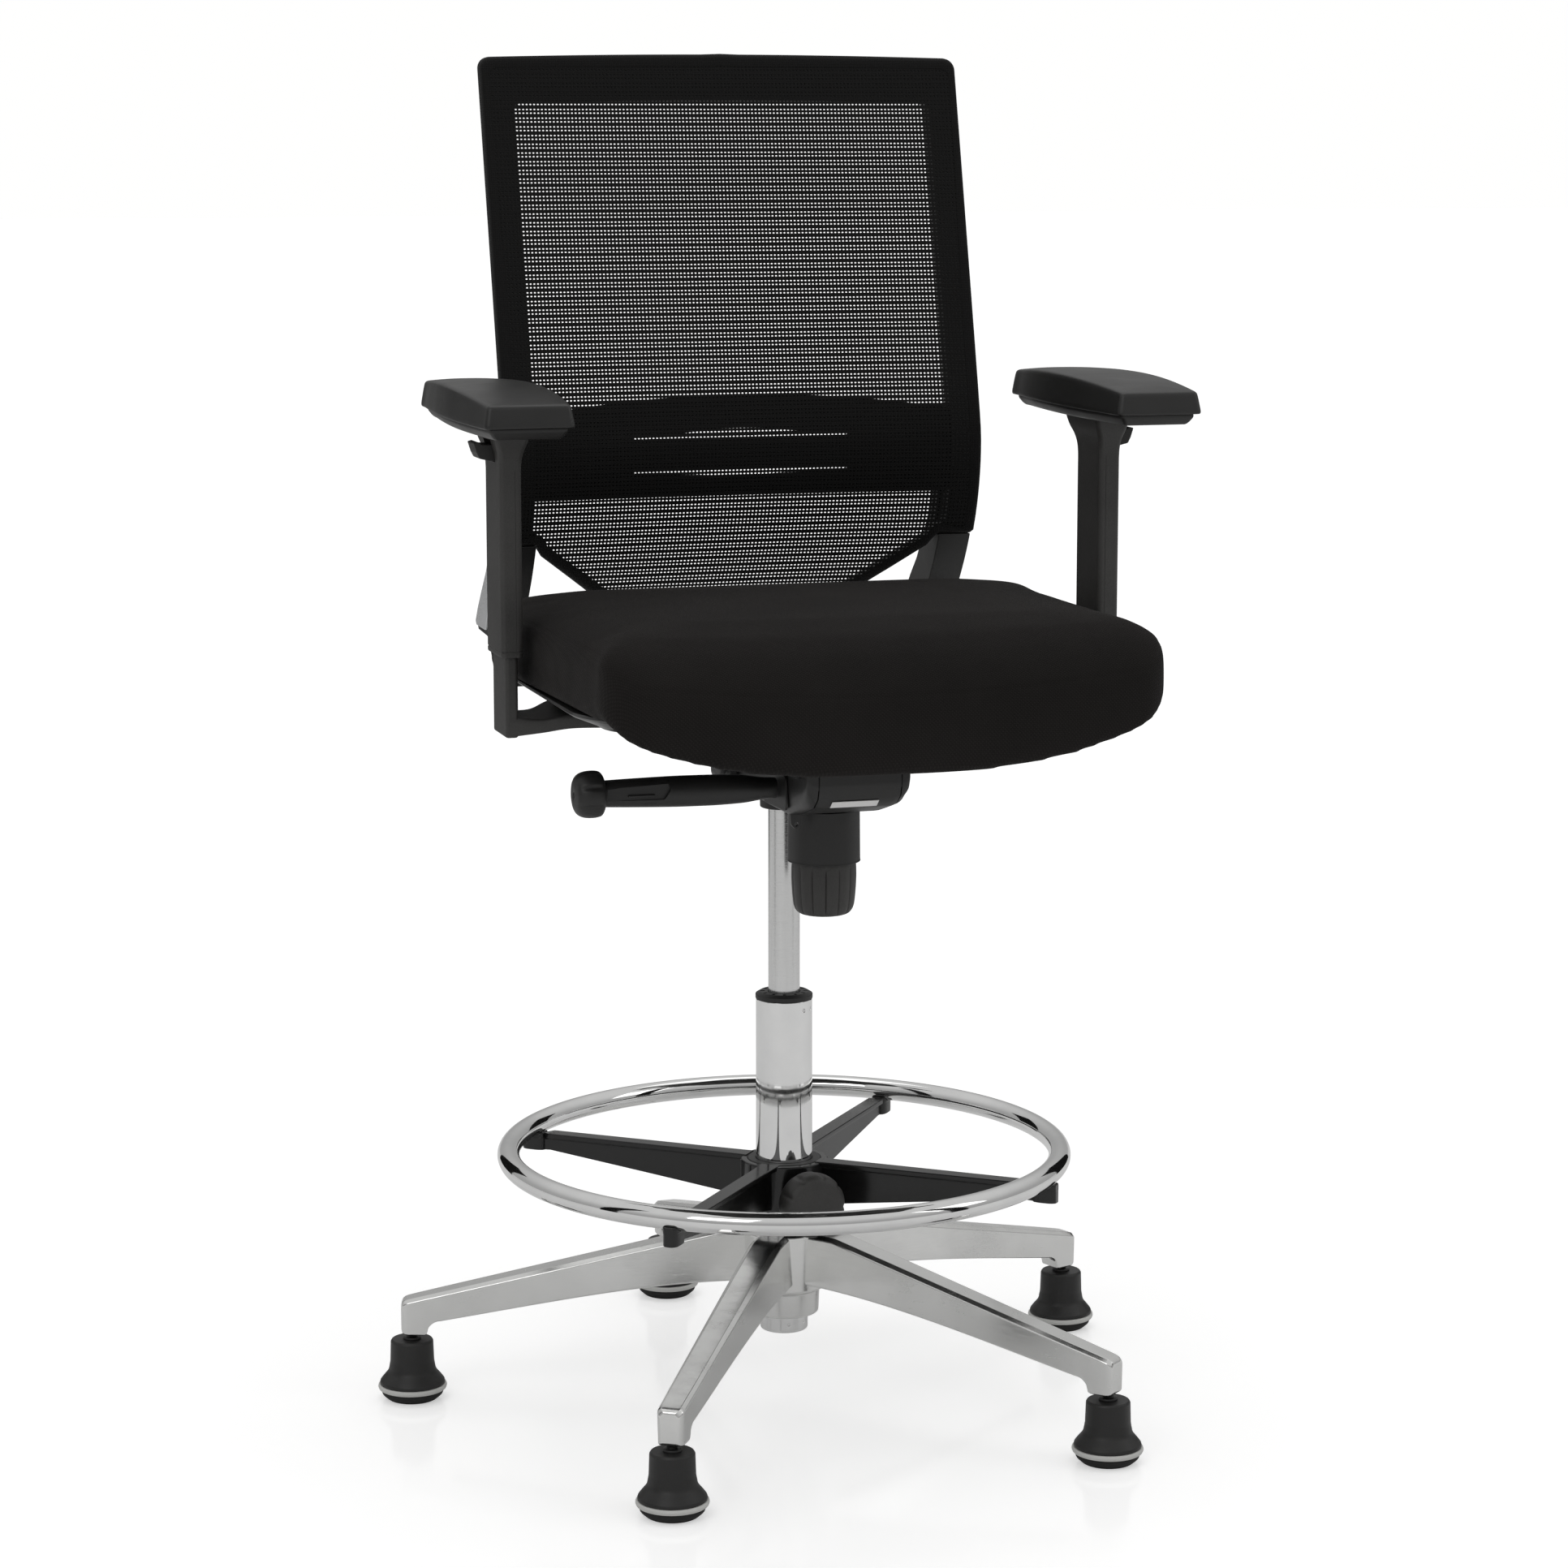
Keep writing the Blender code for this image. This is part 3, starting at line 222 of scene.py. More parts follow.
def fabric_material():
    """Knitted seat cloth: small lozenges in offset rows, with a slight nap."""
    s = Surface("seat_cloth")
    x, y, z = s.axes()
    across = s.plus(x, s.times(s.noise(60.0, 2.0), 0.0006))
    along = s.plus(y, z)
    turns = 2 * math.pi / LOZENGE
    first = s.math("SINE", s.times(s.plus(across, along), turns))
    second = s.math("SINE", s.times(s.math("SUBTRACT", across, along), turns))
    ridge = s.plus(s.times(first, 0.62), s.times(second, 0.38))
    lozenge = s.times(first, second)
    weave = s.plus(s.times(ridge, 0.5), s.times(lozenge, 0.5))
    fibre = s.noise(3800.0, 3.0, 0.7)
    height = s.plus(weave, s.times(fibre, 0.9))
    drift = s.noise(7.0, 4.0, 0.6)
    shade = s.plus(s.span(height, -0.9, 1.4, 0.0, 0.8), s.span(drift, 0.3, 0.7, -0.1, 0.2))
    s.color(s.mix(shade, (0.0052, 0.0047, 0.0044), (0.023, 0.0208, 0.0196)))
    s.rough(s.span(fibre, 0.3, 0.7, 0.82, 1.0))
    s.bump(height, 0.00035, 0.6)
    s.fixed(Sheen_Weight=0.05, Sheen_Roughness=0.45, Specular_IOR_Level=0.1)
    s.fixed(Sheen_Tint=(0.75, 0.72, 0.72, 1.0))
    return s.mat


def knit_material():
    """Mesh yarn: fine twisted ribs along the rows, matt with a faint gloss."""
    s = Surface("mesh_knit")
    x, _, z = s.axes()
    rib = s.math("SINE", s.times(z, 2 * math.pi / RIB))
    stitch = s.math("SINE", s.times(x, 2 * math.pi / STITCH))
    yarn = s.plus(s.times(rib, 0.5), s.times(stitch, 0.4))
    fibre = s.noise(3000.0, 3.0, 0.7)
    height = s.plus(yarn, fibre)
    s.color(s.mix(s.span(height, -0.5, 1.5, 0.0, 1.0), (0.0018, 0.0017, 0.0017), (0.0095, 0.009, 0.0088)))
    s.rough(s.span(fibre, 0.3, 0.7, 0.6, 0.85))
    s.bump(height, 0.00025, 0.6)
    s.fixed(Sheen_Weight=0.03, Sheen_Roughness=0.5, Specular_IOR_Level=0.16)
    return s.mat


def label_material():
    s = Surface("blank_label")
    speck = s.noise(700.0, 3.0)
    s.color(s.mix(speck, (0.8, 0.79, 0.78), (0.88, 0.87, 0.86)))
    s.rough(s.span(speck, 0.3, 0.7, 0.4, 0.55))
    s.bump(speck, 0.00003, 0.3)
    return s.mat


def silver_material():
    s = Surface("silver_lacquer", 0.35)
    flake = s.cells(5200.0)
    drift = s.noise(20.0, 3.0)
    s.color(s.mix(s.span(flake, 0.0, 0.6, 0.0, 1.0), (0.8, 0.81, 0.82), (0.7, 0.71, 0.72)))
    s.rough(s.span(drift, 0.3, 0.7, 0.26, 0.38))
    s.bump(flake, 0.00002, 0.3)
    return s.mat


CHROME = chrome_material()
ROD = rod_material()
POLISHED = polished_material()
PLASTIC = plastic_material("moulded_black", (0.0095, 0.0093, 0.0091), (0.019, 0.0186, 0.018), 0.4, 0.54)
SLEEVE = plastic_material(
    "grained_black", (0.026, 0.025, 0.024), (0.048, 0.0464, 0.0444), 0.44, 0.56, 1300.0, 0.00009, 0.6)
GLOSSY = plastic_material(
    "gloss_black", (0.004, 0.004, 0.004), (0.0085, 0.0085, 0.0084), 0.16, 0.26, 2200.0, 0.00002, 0.3)
SOFT = plastic_material(
    "soft_touch", (0.0105, 0.0103, 0.01), (0.017, 0.0167, 0.0162), 0.36, 0.46, 1900.0, 0.00005, 0.45)
RUBBER = plastic_material(
    "sole_rubber", (0.0085, 0.0085, 0.0084), (0.016, 0.0158, 0.0155), 0.62, 0.78, 1200.0, 0.00006, 0.5)
GREY = plastic_material(
    "light_grey_ring", (0.6, 0.6, 0.58), (0.7, 0.7, 0.68), 0.4, 0.52, 1600.0, 0.00004, 0.4)
STEEL = plastic_material(
    "coated_steel", (0.01, 0.01, 0.01), (0.019, 0.0188, 0.0185), 0.34, 0.48, 1400.0, 0.00005, 0.4)
PAN_BLACK = plastic_material(
    "pan_black", (0.014, 0.0138, 0.0135), (0.024, 0.0236, 0.023), 0.26, 0.36, 1500.0, 0.00004, 0.4)
CLOTH = fabric_material()
KNIT = knit_material()
LABEL = label_material()
SILVER = silver_material()


# ---------------------------------------------------------------- mesh helpers

def link(name, mesh):
    obj = bpy.data.objects.new(name, mesh)
    SCENE.collection.objects.link(obj)
    return obj


def from_lists(name, points, faces):
    mesh = bpy.data.meshes.new(name)
    mesh.from_pydata([tuple(p) for p in points], [], faces)
    return recalc(link(name, mesh))


def recalc(obj):
    """Make a mesh's normals agree, and point outwards where it is closed."""
    bm = bmesh.new()
    bm.from_mesh(obj.data)
    bmesh.ops.recalc_face_normals(bm, faces=bm.faces)
    if all(e.is_manifold for e in bm.edges) and bm.calc_volume(signed=True) < 0:
        bmesh.ops.reverse_faces(bm, faces=bm.faces)
    bm.to_mesh(obj.data)
    bm.free()
    return obj


def baked(obj):
    """Apply an object's modifiers."""
    bpy.context.view_layer.update()
    graph = bpy.context.evaluated_depsgraph_get()
    mesh = bpy.data.meshes.new_from_object(obj.evaluated_get(graph))
    obj.modifiers.clear()
    obj.data = mesh
    return obj


def smooth(obj, angle=33, weighted=True):
    obj.data.shade_smooth()
    obj.data.set_sharp_from_angle(angle=math.radians(angle))
    if weighted:
        mod = obj.modifiers.new("Weighted", "WEIGHTED_NORMAL")
        mod.keep_sharp = True
    return obj


def modify(obj, kind, **settings):
    """Add a modifier with these settings and apply it."""
    mod = obj.modifiers.new(kind, kind)
    for key, value in settings.items():
        setattr(mod, key, value)
    return baked(obj)


def bevel(obj, width, segments=3, angle=40):
    limit = math.radians(angle)
    return modify(obj, "BEVEL", width=width, segments=segments, limit_method="ANGLE", angle_limit=limit)


def boolean(obj, other, operation="DIFFERENCE"):
    """Cut away or add another mesh, which is used up."""
    modify(obj, "BOOLEAN", operation=operation, solver="EXACT", object=other)
    bpy.data.objects.remove(other, do_unlink=True)
    return obj


def join(obj, others):
    """Merge several meshes into the first one."""
    bm = bmesh.new()
    bm.from_mesh(obj.data)
    for other in others:
        bm.from_mesh(other.data)
        bpy.data.objects.remove(other, do_unlink=True)
    bm.to_mesh(obj.data)
    bm.free()
    return obj


def fillet(points, radii, n=5, closed=True):
    """Round each corner of a polygon. Radii is one number or one per corner."""
    count = len(points)
    if not hasattr(radii, "__len__"):
        radii = [radii] * count
    done = []
    for i, point in enumerate(points):
        radius = radii[i]
        if radius <= 0 or (not closed and i in (0, count - 1)):
            done.append(tuple(point))
            continue
        p = Vector(point)
        a = Vector(points[i - 1]) - p
        b = Vector(points[(i + 1) % count]) - p
        half = a.angle(b) / 2
        reach = min(radius / math.tan(max(half, 0.05)), 0.48 * a.length, 0.48 * b.length)
        start, end = p + a.normalized() * reach, p + b.normalized() * reach
        for k in range(n + 1):
            t = k / n
            q = start * (1 - t) ** 2 + p * (2 * t * (1 - t)) + end * t * t
            done.append(tuple(q))
    return done


def loft(name, rings, caps=True, cyclic=False, open_rings=False):
    """Skin rings of equal point count. A cyclic loft joins its last ring to its first."""
    n, rows = len(rings[0]), len(rings)
    points = [p for ring in rings for p in ring]
    faces = []
    for r in range(rows if cyclic else rows - 1):
        a, b = r * n, ((r + 1) % rows) * n
        for i in range(n - 1 if open_rings else n):
            j = (i + 1) % n
            faces.append((a + i, a + j, b + j, b + i))
    if caps and not cyclic:
        faces.append(tuple(range(n)))
        faces.append(tuple(range((rows - 1) * n, rows * n)))
    return from_lists(name, points, faces)


def turned(name, profile, steps=64, at=(0, 0), cyclic=False):
    """A profile of (radius, z) turned about a vertical axis. Points on the axis become poles."""
    points, faces, rows = [], [], []
    for r, z in profile:
        if r < 1e-6:
            rows.append([len(points)])
            points.append((at[0], at[1], z))
            continue
        row = []
        for i in range(steps):
            a = 2 * math.pi * i / steps
            row.append(len(points))
            points.append((at[0] + r * math.cos(a), at[1] + r * math.sin(a), z))
        rows.append(row)
    pairs = list(zip(rows, rows[1:]))
    if cyclic:
        pairs.append((rows[-1], rows[0]))
    for a, b in pairs:
        for i in range(steps):
            j = (i + 1) % steps
            if len(a) == 1 and len(b) == 1:
                break
            if len(a) == 1:
                faces.append((a[0], b[i], b[j]))
            elif len(b) == 1:
                faces.append((a[i], b[0], a[j]))
            else:
                faces.append((a[i], b[i], b[j], a[j]))
    return from_lists(name, points, faces)


def aim(obj, centre, direction):
    """Turn a mesh made about Z so that Z points along a direction, and move it to a centre."""
    turn = Vector(direction).to_track_quat("Z", "Y").to_matrix().to_4x4()
    obj.data.transform(Matrix.Translation(Vector(centre)) @ turn)
    return obj


def pin(name, start, end, radius, edge=0.0006, steps=40):
    """A cylinder between two points with softened rims."""
    start, end = Vector(start), Vector(end)
    length = (end - start).length
    profile = fillet([(0, 0), (radius, 0), (radius, length), (0, length)], [0, edge, edge, 0], 3)
    return aim(turned(name, profile, steps), start, end - start)


def slab(name, outline, thickness, to_world, edge=0.0015, segments=3):
    """An outline extruded both ways from its plane, with rounded rims."""
    n = len(outline)
    points = [(x, y, side * thickness / 2) for side in (-1, 1) for x, y in outline]
    faces = [tuple(range(n - 1, -1, -1)), tuple(range(n, 2 * n))]
    for i in range(n):
        j = (i + 1) % n
        faces.append((i, j, n + j, n + i))
    obj = from_lists(name, points, faces)
    obj.data.transform(to_world)
    recalc(obj)
    return bevel(obj, edge, segments) if edge else obj


def block(name, low, high, edge=0.001):
    (x0, y0, z0), (x1, y1, z1) = low, high
    outline = [(x0, y0), (x1, y0), (x1, y1), (x0, y1)]
    return slab(name, outline, z1 - z0, Matrix.Translation((0, 0, (z0 + z1) / 2)), edge)


def facing_x(x):
    return Matrix(((0, 0, 1, x), (1, 0, 0, 0), (0, 1, 0, 0), (0, 0, 0, 1)))


def facing_y(y):
    return Matrix(((1, 0, 0, 0), (0, 0, -1, y), (0, 1, 0, 0), (0, 0, 0, 1)))


def ray(degrees):
    """The level unit vector at an angle from +X."""
    a = math.radians(degrees)
    return Vector((math.cos(a), math.sin(a), 0))


def spin(obj, degrees):
    obj.data.transform(Matrix.Rotation(math.radians(degrees), 4, "Z"))
    return obj


def quarter(steps, first=0):
    """(cos, sin) at even steps over a right angle."""
    angles = [math.pi / 2 * k / steps for k in range(first, steps + 1)]
    return [(math.cos(a), math.sin(a)) for a in angles]


def swept(name, stations, fill, count, place):
    """Skin rings made from smoothed stations: place(station, angle, i) is a ring's point i of count."""
    return loft(name, [
        [place(row, 2 * math.pi * i / count, i) for i in range(count)] for row in blend_rows(stations, fill)
    ])


def side_block(name, sign, low, high):
    """A sharp block given for the +X side, on either side."""
    x0, x1 = sorted((sign * low[0], sign * high[0]))
    return block(name, (x0, *low[1:]), (x1, *high[1:]), 0)


def smoothstep(t):
    t = max(0.0, min(1.0, t))
    return t * t * (3 - 2 * t)


def blend_rows(stations, count):
    """Resample rows of numbers, the first of which is the parameter, with eased Catmull-Rom steps."""
    rows = [np.array(s, float) for s in stations]
    done = []
    for i in range(len(rows) - 1):
        p0, p1 = rows[max(0, i - 1)], rows[i]
        p2, p3 = rows[i + 1], rows[min(len(rows) - 1, i + 2)]
        for k in range(count):
            t = k / count
            square, cube = 2 * p0 - 5 * p1 + 4 * p2 - p3, 3 * p1 - p0 - 3 * p2 + p3
            done.append(0.5 * (2 * p1 + (p2 - p0) * t + square * t ** 2 + cube * t ** 3))
    done.append(rows[-1])
    return done


def rounded_box(x0, x1, y0, y1, r_front, r_rear, n=8):
    corners = (
        (x1 - r_front, y0 + r_front, r_front, -90), (x1 - r_rear, y1 - r_rear, r_rear, 0),
        (x0 + r_rear, y1 - r_rear, r_rear, 90), (x0 + r_front, y0 + r_front, r_front, 180),
    )
    points = []
    for cx, cy, r, start in corners:
        for i in range(n + 1):
            a = math.radians(start + 90 * i / n)
            points.append((cx + r * math.cos(a), cy + r * math.sin(a)))
    return points


def finish_piece(obj, mat, body, slot, *nodes):
    """Place a piece drawn from the column's foot, give it a material, tie it to its body, and hide the CAD nodes it
    stands in for.
    """
    obj.location = COLUMN
    obj.data.materials.clear()
    obj.data.materials.append(mat)
    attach(obj, body)
    if nodes:
        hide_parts(*nodes)
    return obj


# ---------------------------------------------------------------- base

LEG_ANGLES = [-122.36 + 72.0 * i for i in range(5)]
GLIDE_R, LEG_TIP_R = 0.3333, 0.3422
NOSE_Z = 0.0605


def leg_section(r, top_half, low_half, low_z, lift=0.0):
    top = min(0.156, 0.1695 - 0.227 * r) - lift
    shoulder = top_half + 0.35 * (low_half - top_half) + 0.0022
    plan = [
        (-low_half + 0.0006, low_z), (low_half - 0.0006, low_z), (shoulder, top - 0.003), (top_half, top),
        (-top_half, top), (-shoulder, top - 0.003),
    ]
    section = fillet(plan, [0.0018, 0.0018, 0.0026, 0.0014, 0.0014, 0.0026], 4)
    return [(r, y, z) for y, z in section]


def leg_low(r):
    t = max(0.0, (r - 0.02) / 0.296)
    return 0.1105 - 0.0385 * smoothstep(t * 0.62) / 0.6767


def make_leg(name):
    rings = []
    for i in range(36):
        t = i / 35
        r = 0.02 + 0.2865 * t
        rings.append(leg_section(r, 0.0105 - 0.0017 * t, 0.0185 - 0.0063 * t, leg_low(r)))
    for i in range(1, 9):
        t = i / 8
        r = 0.3065 + 0.013 * t
        low = leg_low(0.3065) + (NOSE_Z + 0.0008 - leg_low(0.3065)) * (1 - math.sqrt(1 - t * t))
        rings.append(leg_section(r, 0.0088 - 0.0003 * t, 0.0122 - 0.0004 * t, low))
    for r, shrink, rise, lift in (
        (0.3215, 0.0, 0.0, 0.0), (0.33, 0.0001, 0.0, 0.0), (0.3362, 0.0003, 0.0, 0.0001),
        (0.3387, 0.0008, 0.0004, 0.0004), (0.3407, 0.0018, 0.0012, 0.0012), (0.3417, 0.003, 0.0024, 0.0024),
        (LEG_TIP_R, 0.0046, 0.004, 0.004),
    ):
        rings.append(leg_section(r, 0.0085 - shrink, 0.0118 - shrink, NOSE_Z + rise, lift))
    return loft(name, rings)


def make_base():
    profile = fillet(
        [(0.0256, 0.156), (0.039, 0.156), (0.0382, 0.103), (0.0318, 0.1), (0.0308, 0.078), (0.0256, 0.078)],
        [0.0008, 0.003, 0.003, 0.002, 0.0022, 0.0006], 5,
    )
    star = turned("base_casting", profile, 96, cyclic=True)
    for degrees in LEG_ANGLES:
        leg = make_leg("leg")
        trim = pin("trim", (0, 0, 0.05), (0, 0, 0.2), 0.03, 0, 64)
        hollow = block("hollow", (0.06, -0.0085, 0.04), (0.3, 0.0085, 0.1), 0)
        for v in hollow.data.vertices:
            v.co.z = 0.04 if v.co.z < 0.05 else (0.132 if v.co.x < 0.1 else 0.0875)
        boolean(leg, trim)
        boolean(leg, hollow)
        boolean(star, spin(leg, degrees), "UNION")
    smooth(star, 30)
    finish_piece(star, POLISHED, "base", "polished_aluminium", "base_star")


def make_glides():
    bell = fillet([
        (0, 0.05), (0.0064, 0.05), (0.0064, 0.055), (0.0178, 0.055), (0.019, 0.053), (0.0196, 0.035),
        (0.0212, 0.0262), (0.0262, 0.0203), (0.0289, 0.0168), (0.029, 0.0142), (0, 0.0142),
    ], [0, 0.0005, 0.0006, 0.0016, 0.0016, 0.012, 0.01, 0.01, 0.0035, 0.0006, 0], 6)
    ring = fillet(
        [(0.0262, 0.0139), (0.0302, 0.0139), (0.0308, 0.0116), (0.0298, 0.0094), (0.0262, 0.0094)],
        [0, 0.0012, 0.0022, 0.001, 0], 5,
    )
    sole = fillet([
        (0, 0.0138), (0.0258, 0.0138), (0.0258, 0.009), (0.0277, 0.0089), (0.0272, 0.005), (0.0215, 0), (0, 0),
    ], [0, 0, 0, 0.0008, 0.004, 0.004, 0], 5)
    turnings = (
        ("bell", bell, PLASTIC, "black_plastic", "bell"), ("band", ring, GREY, "light_grey_plastic", "ring"),
        ("sole", sole, RUBBER, "black_rubber", "sole"),
    )
    collar = fillet([(0, 0.0572), (0.0078, 0.0572), (0.0082, 0.0552), (0, 0.0552)], [0, 0.0006, 0.0004, 0], 2)
    for number, degrees in enumerate(LEG_ANGLES, 1):
        at = (GLIDE_R * ray(degrees)).xy
        # a thread, with a pressed collar between the stem and the bell
        stem = [(0, 0.0745), (0.0046, 0.0745)]
        for k in range(28):
            z = 0.074 - 0.00125 * k
            stem.extend([(0.0049, z), (0.0043, z - 0.0006)])
        stem.append((0, 0.0392))
        obj = join(turned("foot_screw_%d" % number, stem, 32, at), [turned("collar", collar, 32, at)])
        finish_piece(smooth(obj, 50, False), STEEL, "base", "black_steel", "glide_stem_%d" % number)
        for piece, profile, mat, slot, node in turnings:
            obj = turned("foot_%s_%d" % (piece, number), profile, 72, at, cyclic=piece == "band")
            finish_piece(smooth(obj, 40), mat, "glide_%d" % number, slot, "glide_%s_%d" % (node, number))


# ---------------------------------------------------------------- column and lift

def dimple(obj, centre, direction, radius):
    profile = [(0, -radius)]
    for i in range(1, 9):
        a = -math.pi / 2 + math.pi * i / 9
        profile.append((radius * math.cos(a), radius * math.sin(a)))
    profile.append((0, radius))
    return boolean(obj, aim(turned("dimple", profile, 24), centre, direction))


def make_column():
    profile = fillet([
        (0, 0.082), (0.0226, 0.082), (0.0226, 0.3644), (0.025, 0.3644), (0.025, 0.079),
        (0.0213, 0.0765), (0.0213, 0.0617), (0, 0.0617),
    ], [0, 0, 0.0004, 0.0007, 0.001, 0.0008, 0.003, 0], 5)
    tube = turned("column_sleeve", profile, 128)
    for degrees, reach, z, radius in (
        (-62.0, 0.0262, 0.3562, 0.0023), (-38.0, 0.0262, 0.3562, 0.0023),
        (-95.0, 0.0222, 0.07, 0.0018), (-50.0, 0.0222, 0.07, 0.0018),
    ):
        dimple(tube, ray(degrees) * reach + UP * z, ray(degrees), radius)
    finish_piece(smooth(tube, 30), CHROME, "base", "chrome", "column_tube")

    profile = fillet([
        (0.0143, 0.3707), (0.0215, 0.3707), (0.0254, 0.3684), (0.0254, 0.3647), (0.0223, 0.3647),
        (0.0223, 0.335), (0.0143, 0.335),
    ], [0.0006, 0.0006, 0.0009, 0.0003, 0, 0.0005, 0.0005], 4)
    cap = turned("column_collar", profile, 96, cyclic=True)
    notches = []
    for i in range(12):
        notch = block("notch", (-0.0013, 0.017, 0.3694), (0.0013, 0.021, 0.3722), 0)
        notches.append(spin(notch, 30 * i + 15))
    boolean(cap, join(notches[0], notches[1:]))
    finish_piece(smooth(cap, 30), PLASTIC, "base", "black_plastic", "column_cap")

    profile = fillet(
        [(0, 0.564), (0.012, 0.564), (0.014, 0.544), (0.014, 0.232), (0.012, 0.23), (0, 0.23)],
        [0, 0.0006, 0.004, 0.001, 0.001, 0], 4,
    )
    rod = turned("lift_piston", profile, 96)
    finish_piece(smooth(rod, 30), ROD, "lift", "chrome", "lift_rod")


# ---------------------------------------------------------------- foot ring

RING_R, RING_TUBE_R, RING_Z = 0.2451, 0.0098, 0.2256
SPOKE_ANGLES = [-38.5 + 90.0 * i for i in range(4)]
SCREW_ANGLE, SCREW_Z = -83.5, 0.191


def make_torus(name, major, minor, major_steps, minor_steps, z):
    profile = []
    for i in range(minor_steps):
        a = -2 * math.pi * i / minor_steps
        profile.append((major + minor * math.cos(a), z + minor * math.sin(a)))
    return turned(name, profile, major_steps, cyclic=True)


def spoke_section(r, half, web, low, drop=0.0):
    top = 0.22 - drop
    plan = [
        (-web, low), (web, low), (web, top - 0.0058), (half, top - 0.0044), (half, top), (-half, top),
        (-half, top - 0.0044), (-web, top - 0.0058),
    ]
    section = fillet(plan, [0.0012, 0.0012, 0.0016, 0.001, 0.0013, 0.0013, 0.001, 0.0016], 3)
    return [(r, y, z) for y, z in section]


def make_spoke(name):
    stations = [
        (0.033, 0.0088, 0.0042, 0.179), (0.05, 0.0081, 0.0034, 0.1815), (0.13, 0.0078, 0.0032, 0.1915),
        (0.229, 0.0074, 0.0032, 0.2035),
    ]
    rings = [spoke_section(*row) for row in blend_rows(stations, 8)]
    centre, reach = 0.2453, 0.0108
    for i in range(13):
        s = -math.cos(math.pi * i / 12)
        wide = 0.003 + 0.0046 * max(0.0, 1 - abs(s) ** 3.2) ** 0.5
        half, web = max(wide, 0.0034), max(wide - 0.0004, 0.003)
        rings.append(spoke_section(centre + reach * s, half, web, 0.2032, 0.0008 * s ** 8))
    return loft(name, rings)


def make_foot_ring():
    profile = fillet(
        [(0.0253, 0.2195), (0.0325, 0.2195), (0.0325, 0.17), (0.0253, 0.17)],
        [0.0008, 0.001, 0.0012, 0.0008], 4,
    )
    bush = turned("ring_bush", profile, 96, cyclic=True)
    finish_piece(smooth(bush, 35), PLASTIC, "ring_slider", "black_plastic", "footring_bush")

    profile = fillet(
        [(0.0328, 0.219), (0.0385, 0.219), (0.038, 0.176), (0.0328, 0.176)],
        [0.0006, 0.0016, 0.0014, 0.0006], 4,
    )
    hub = turned("ring_hub", profile, 96, cyclic=True)
    for degrees in SPOKE_ANGLES:
        boolean(hub, spin(make_spoke("spoke"), degrees), "UNION")
    for degrees in [a + d for a in SPOKE_ANGLES for d in (30.0, 60.0)]:
        out = ray(degrees) * 0.0378
        if abs((degrees - SCREW_ANGLE + 180) % 360 - 180) > 16:
            rib = pin("rib", out + UP * 0.1765, out + UP * 0.2182, 0.0018, 0.0004, 16)
            boolean(hub, rib, "UNION")
    boolean(hub, make_torus("groove", RING_R, RING_TUBE_R + 0.0004, 160, 24, RING_Z))
    out = ray(SCREW_ANGLE)
    middle = UP * SCREW_Z
    boss = pin("boss", middle + out * 0.0345, middle + out * 0.044, 0.0095, 0.001, 32)
    bore = pin("bore", (0, 0, 0.16), (0, 0, 0.24), 0.0328, 0, 96)
    boolean(boss, bore)
    boolean(hub, boss, "UNION")
    boolean(hub, pin("hole", middle + out * 0.028, middle + out * 0.05, 0.0045, 0, 32))
    finish_piece(smooth(hub, 32), GLOSSY, "foot_ring", "black_aluminium", "footring_hub")

    ring = make_torus("ring_tube", RING_R, RING_TUBE_R, 192, 36, RING_Z)
    finish_piece(smooth(ring, 60, False), CHROME, "foot_ring", "chrome", "footring_ring")

    stations = [
        (0.0474, 0.45, 0.0), (0.0478, 0.64, 0.0), (0.0492, 0.8, 0.0), (0.052, 0.935, 0.1),
        (0.057, 0.975, 0.55), (0.063, 1.0, 1.0), (0.068, 0.995, 1.0), (0.0715, 0.965, 0.8),
        (0.0742, 0.9, 0.35), (0.0762, 0.78, 0.05), (0.0774, 0.58, 0.0), (0.0779, 0.3, 0.0),
        (0.078, 0.08, 0.0),
    ]
    side = Vector((-out.y, out.x, 0))

    def place(row, angle, _):
        distance, size, bite = row
        wave = max(0.0, math.cos(9 * angle + 0.6)) ** 4
        radius = 0.0288 * size * (1 - 0.075 * bite * wave)
        return middle + out * distance + (side * math.cos(angle) + UP * math.sin(angle)) * radius

    knob = swept("ring_screw_knob", stations, 3, 180, place)
    shank = pin("shank", middle + out * 0.033, middle + out * 0.052, 0.004, 0.0005, 32)
    knob = join(knob, [shank])
    finish_piece(smooth(knob, 45, False), SLEEVE, "ring_knob", "black_plastic", "footring_knob")


# ---------------------------------------------------------------- mechanism

TENSION_Y = -0.12
LEVER = (-0.052, -0.14, 0.5775)


def housing_section(y, low, high, half, corner):
    plan = [(-half, low), (half, low), (half, high), (-half, high)]
    corner = min(corner, 0.46 * (high - low))
    return [(x, y, z) for x, z in fillet(plan, [corner, corner, 0.004, 0.004], 7)]


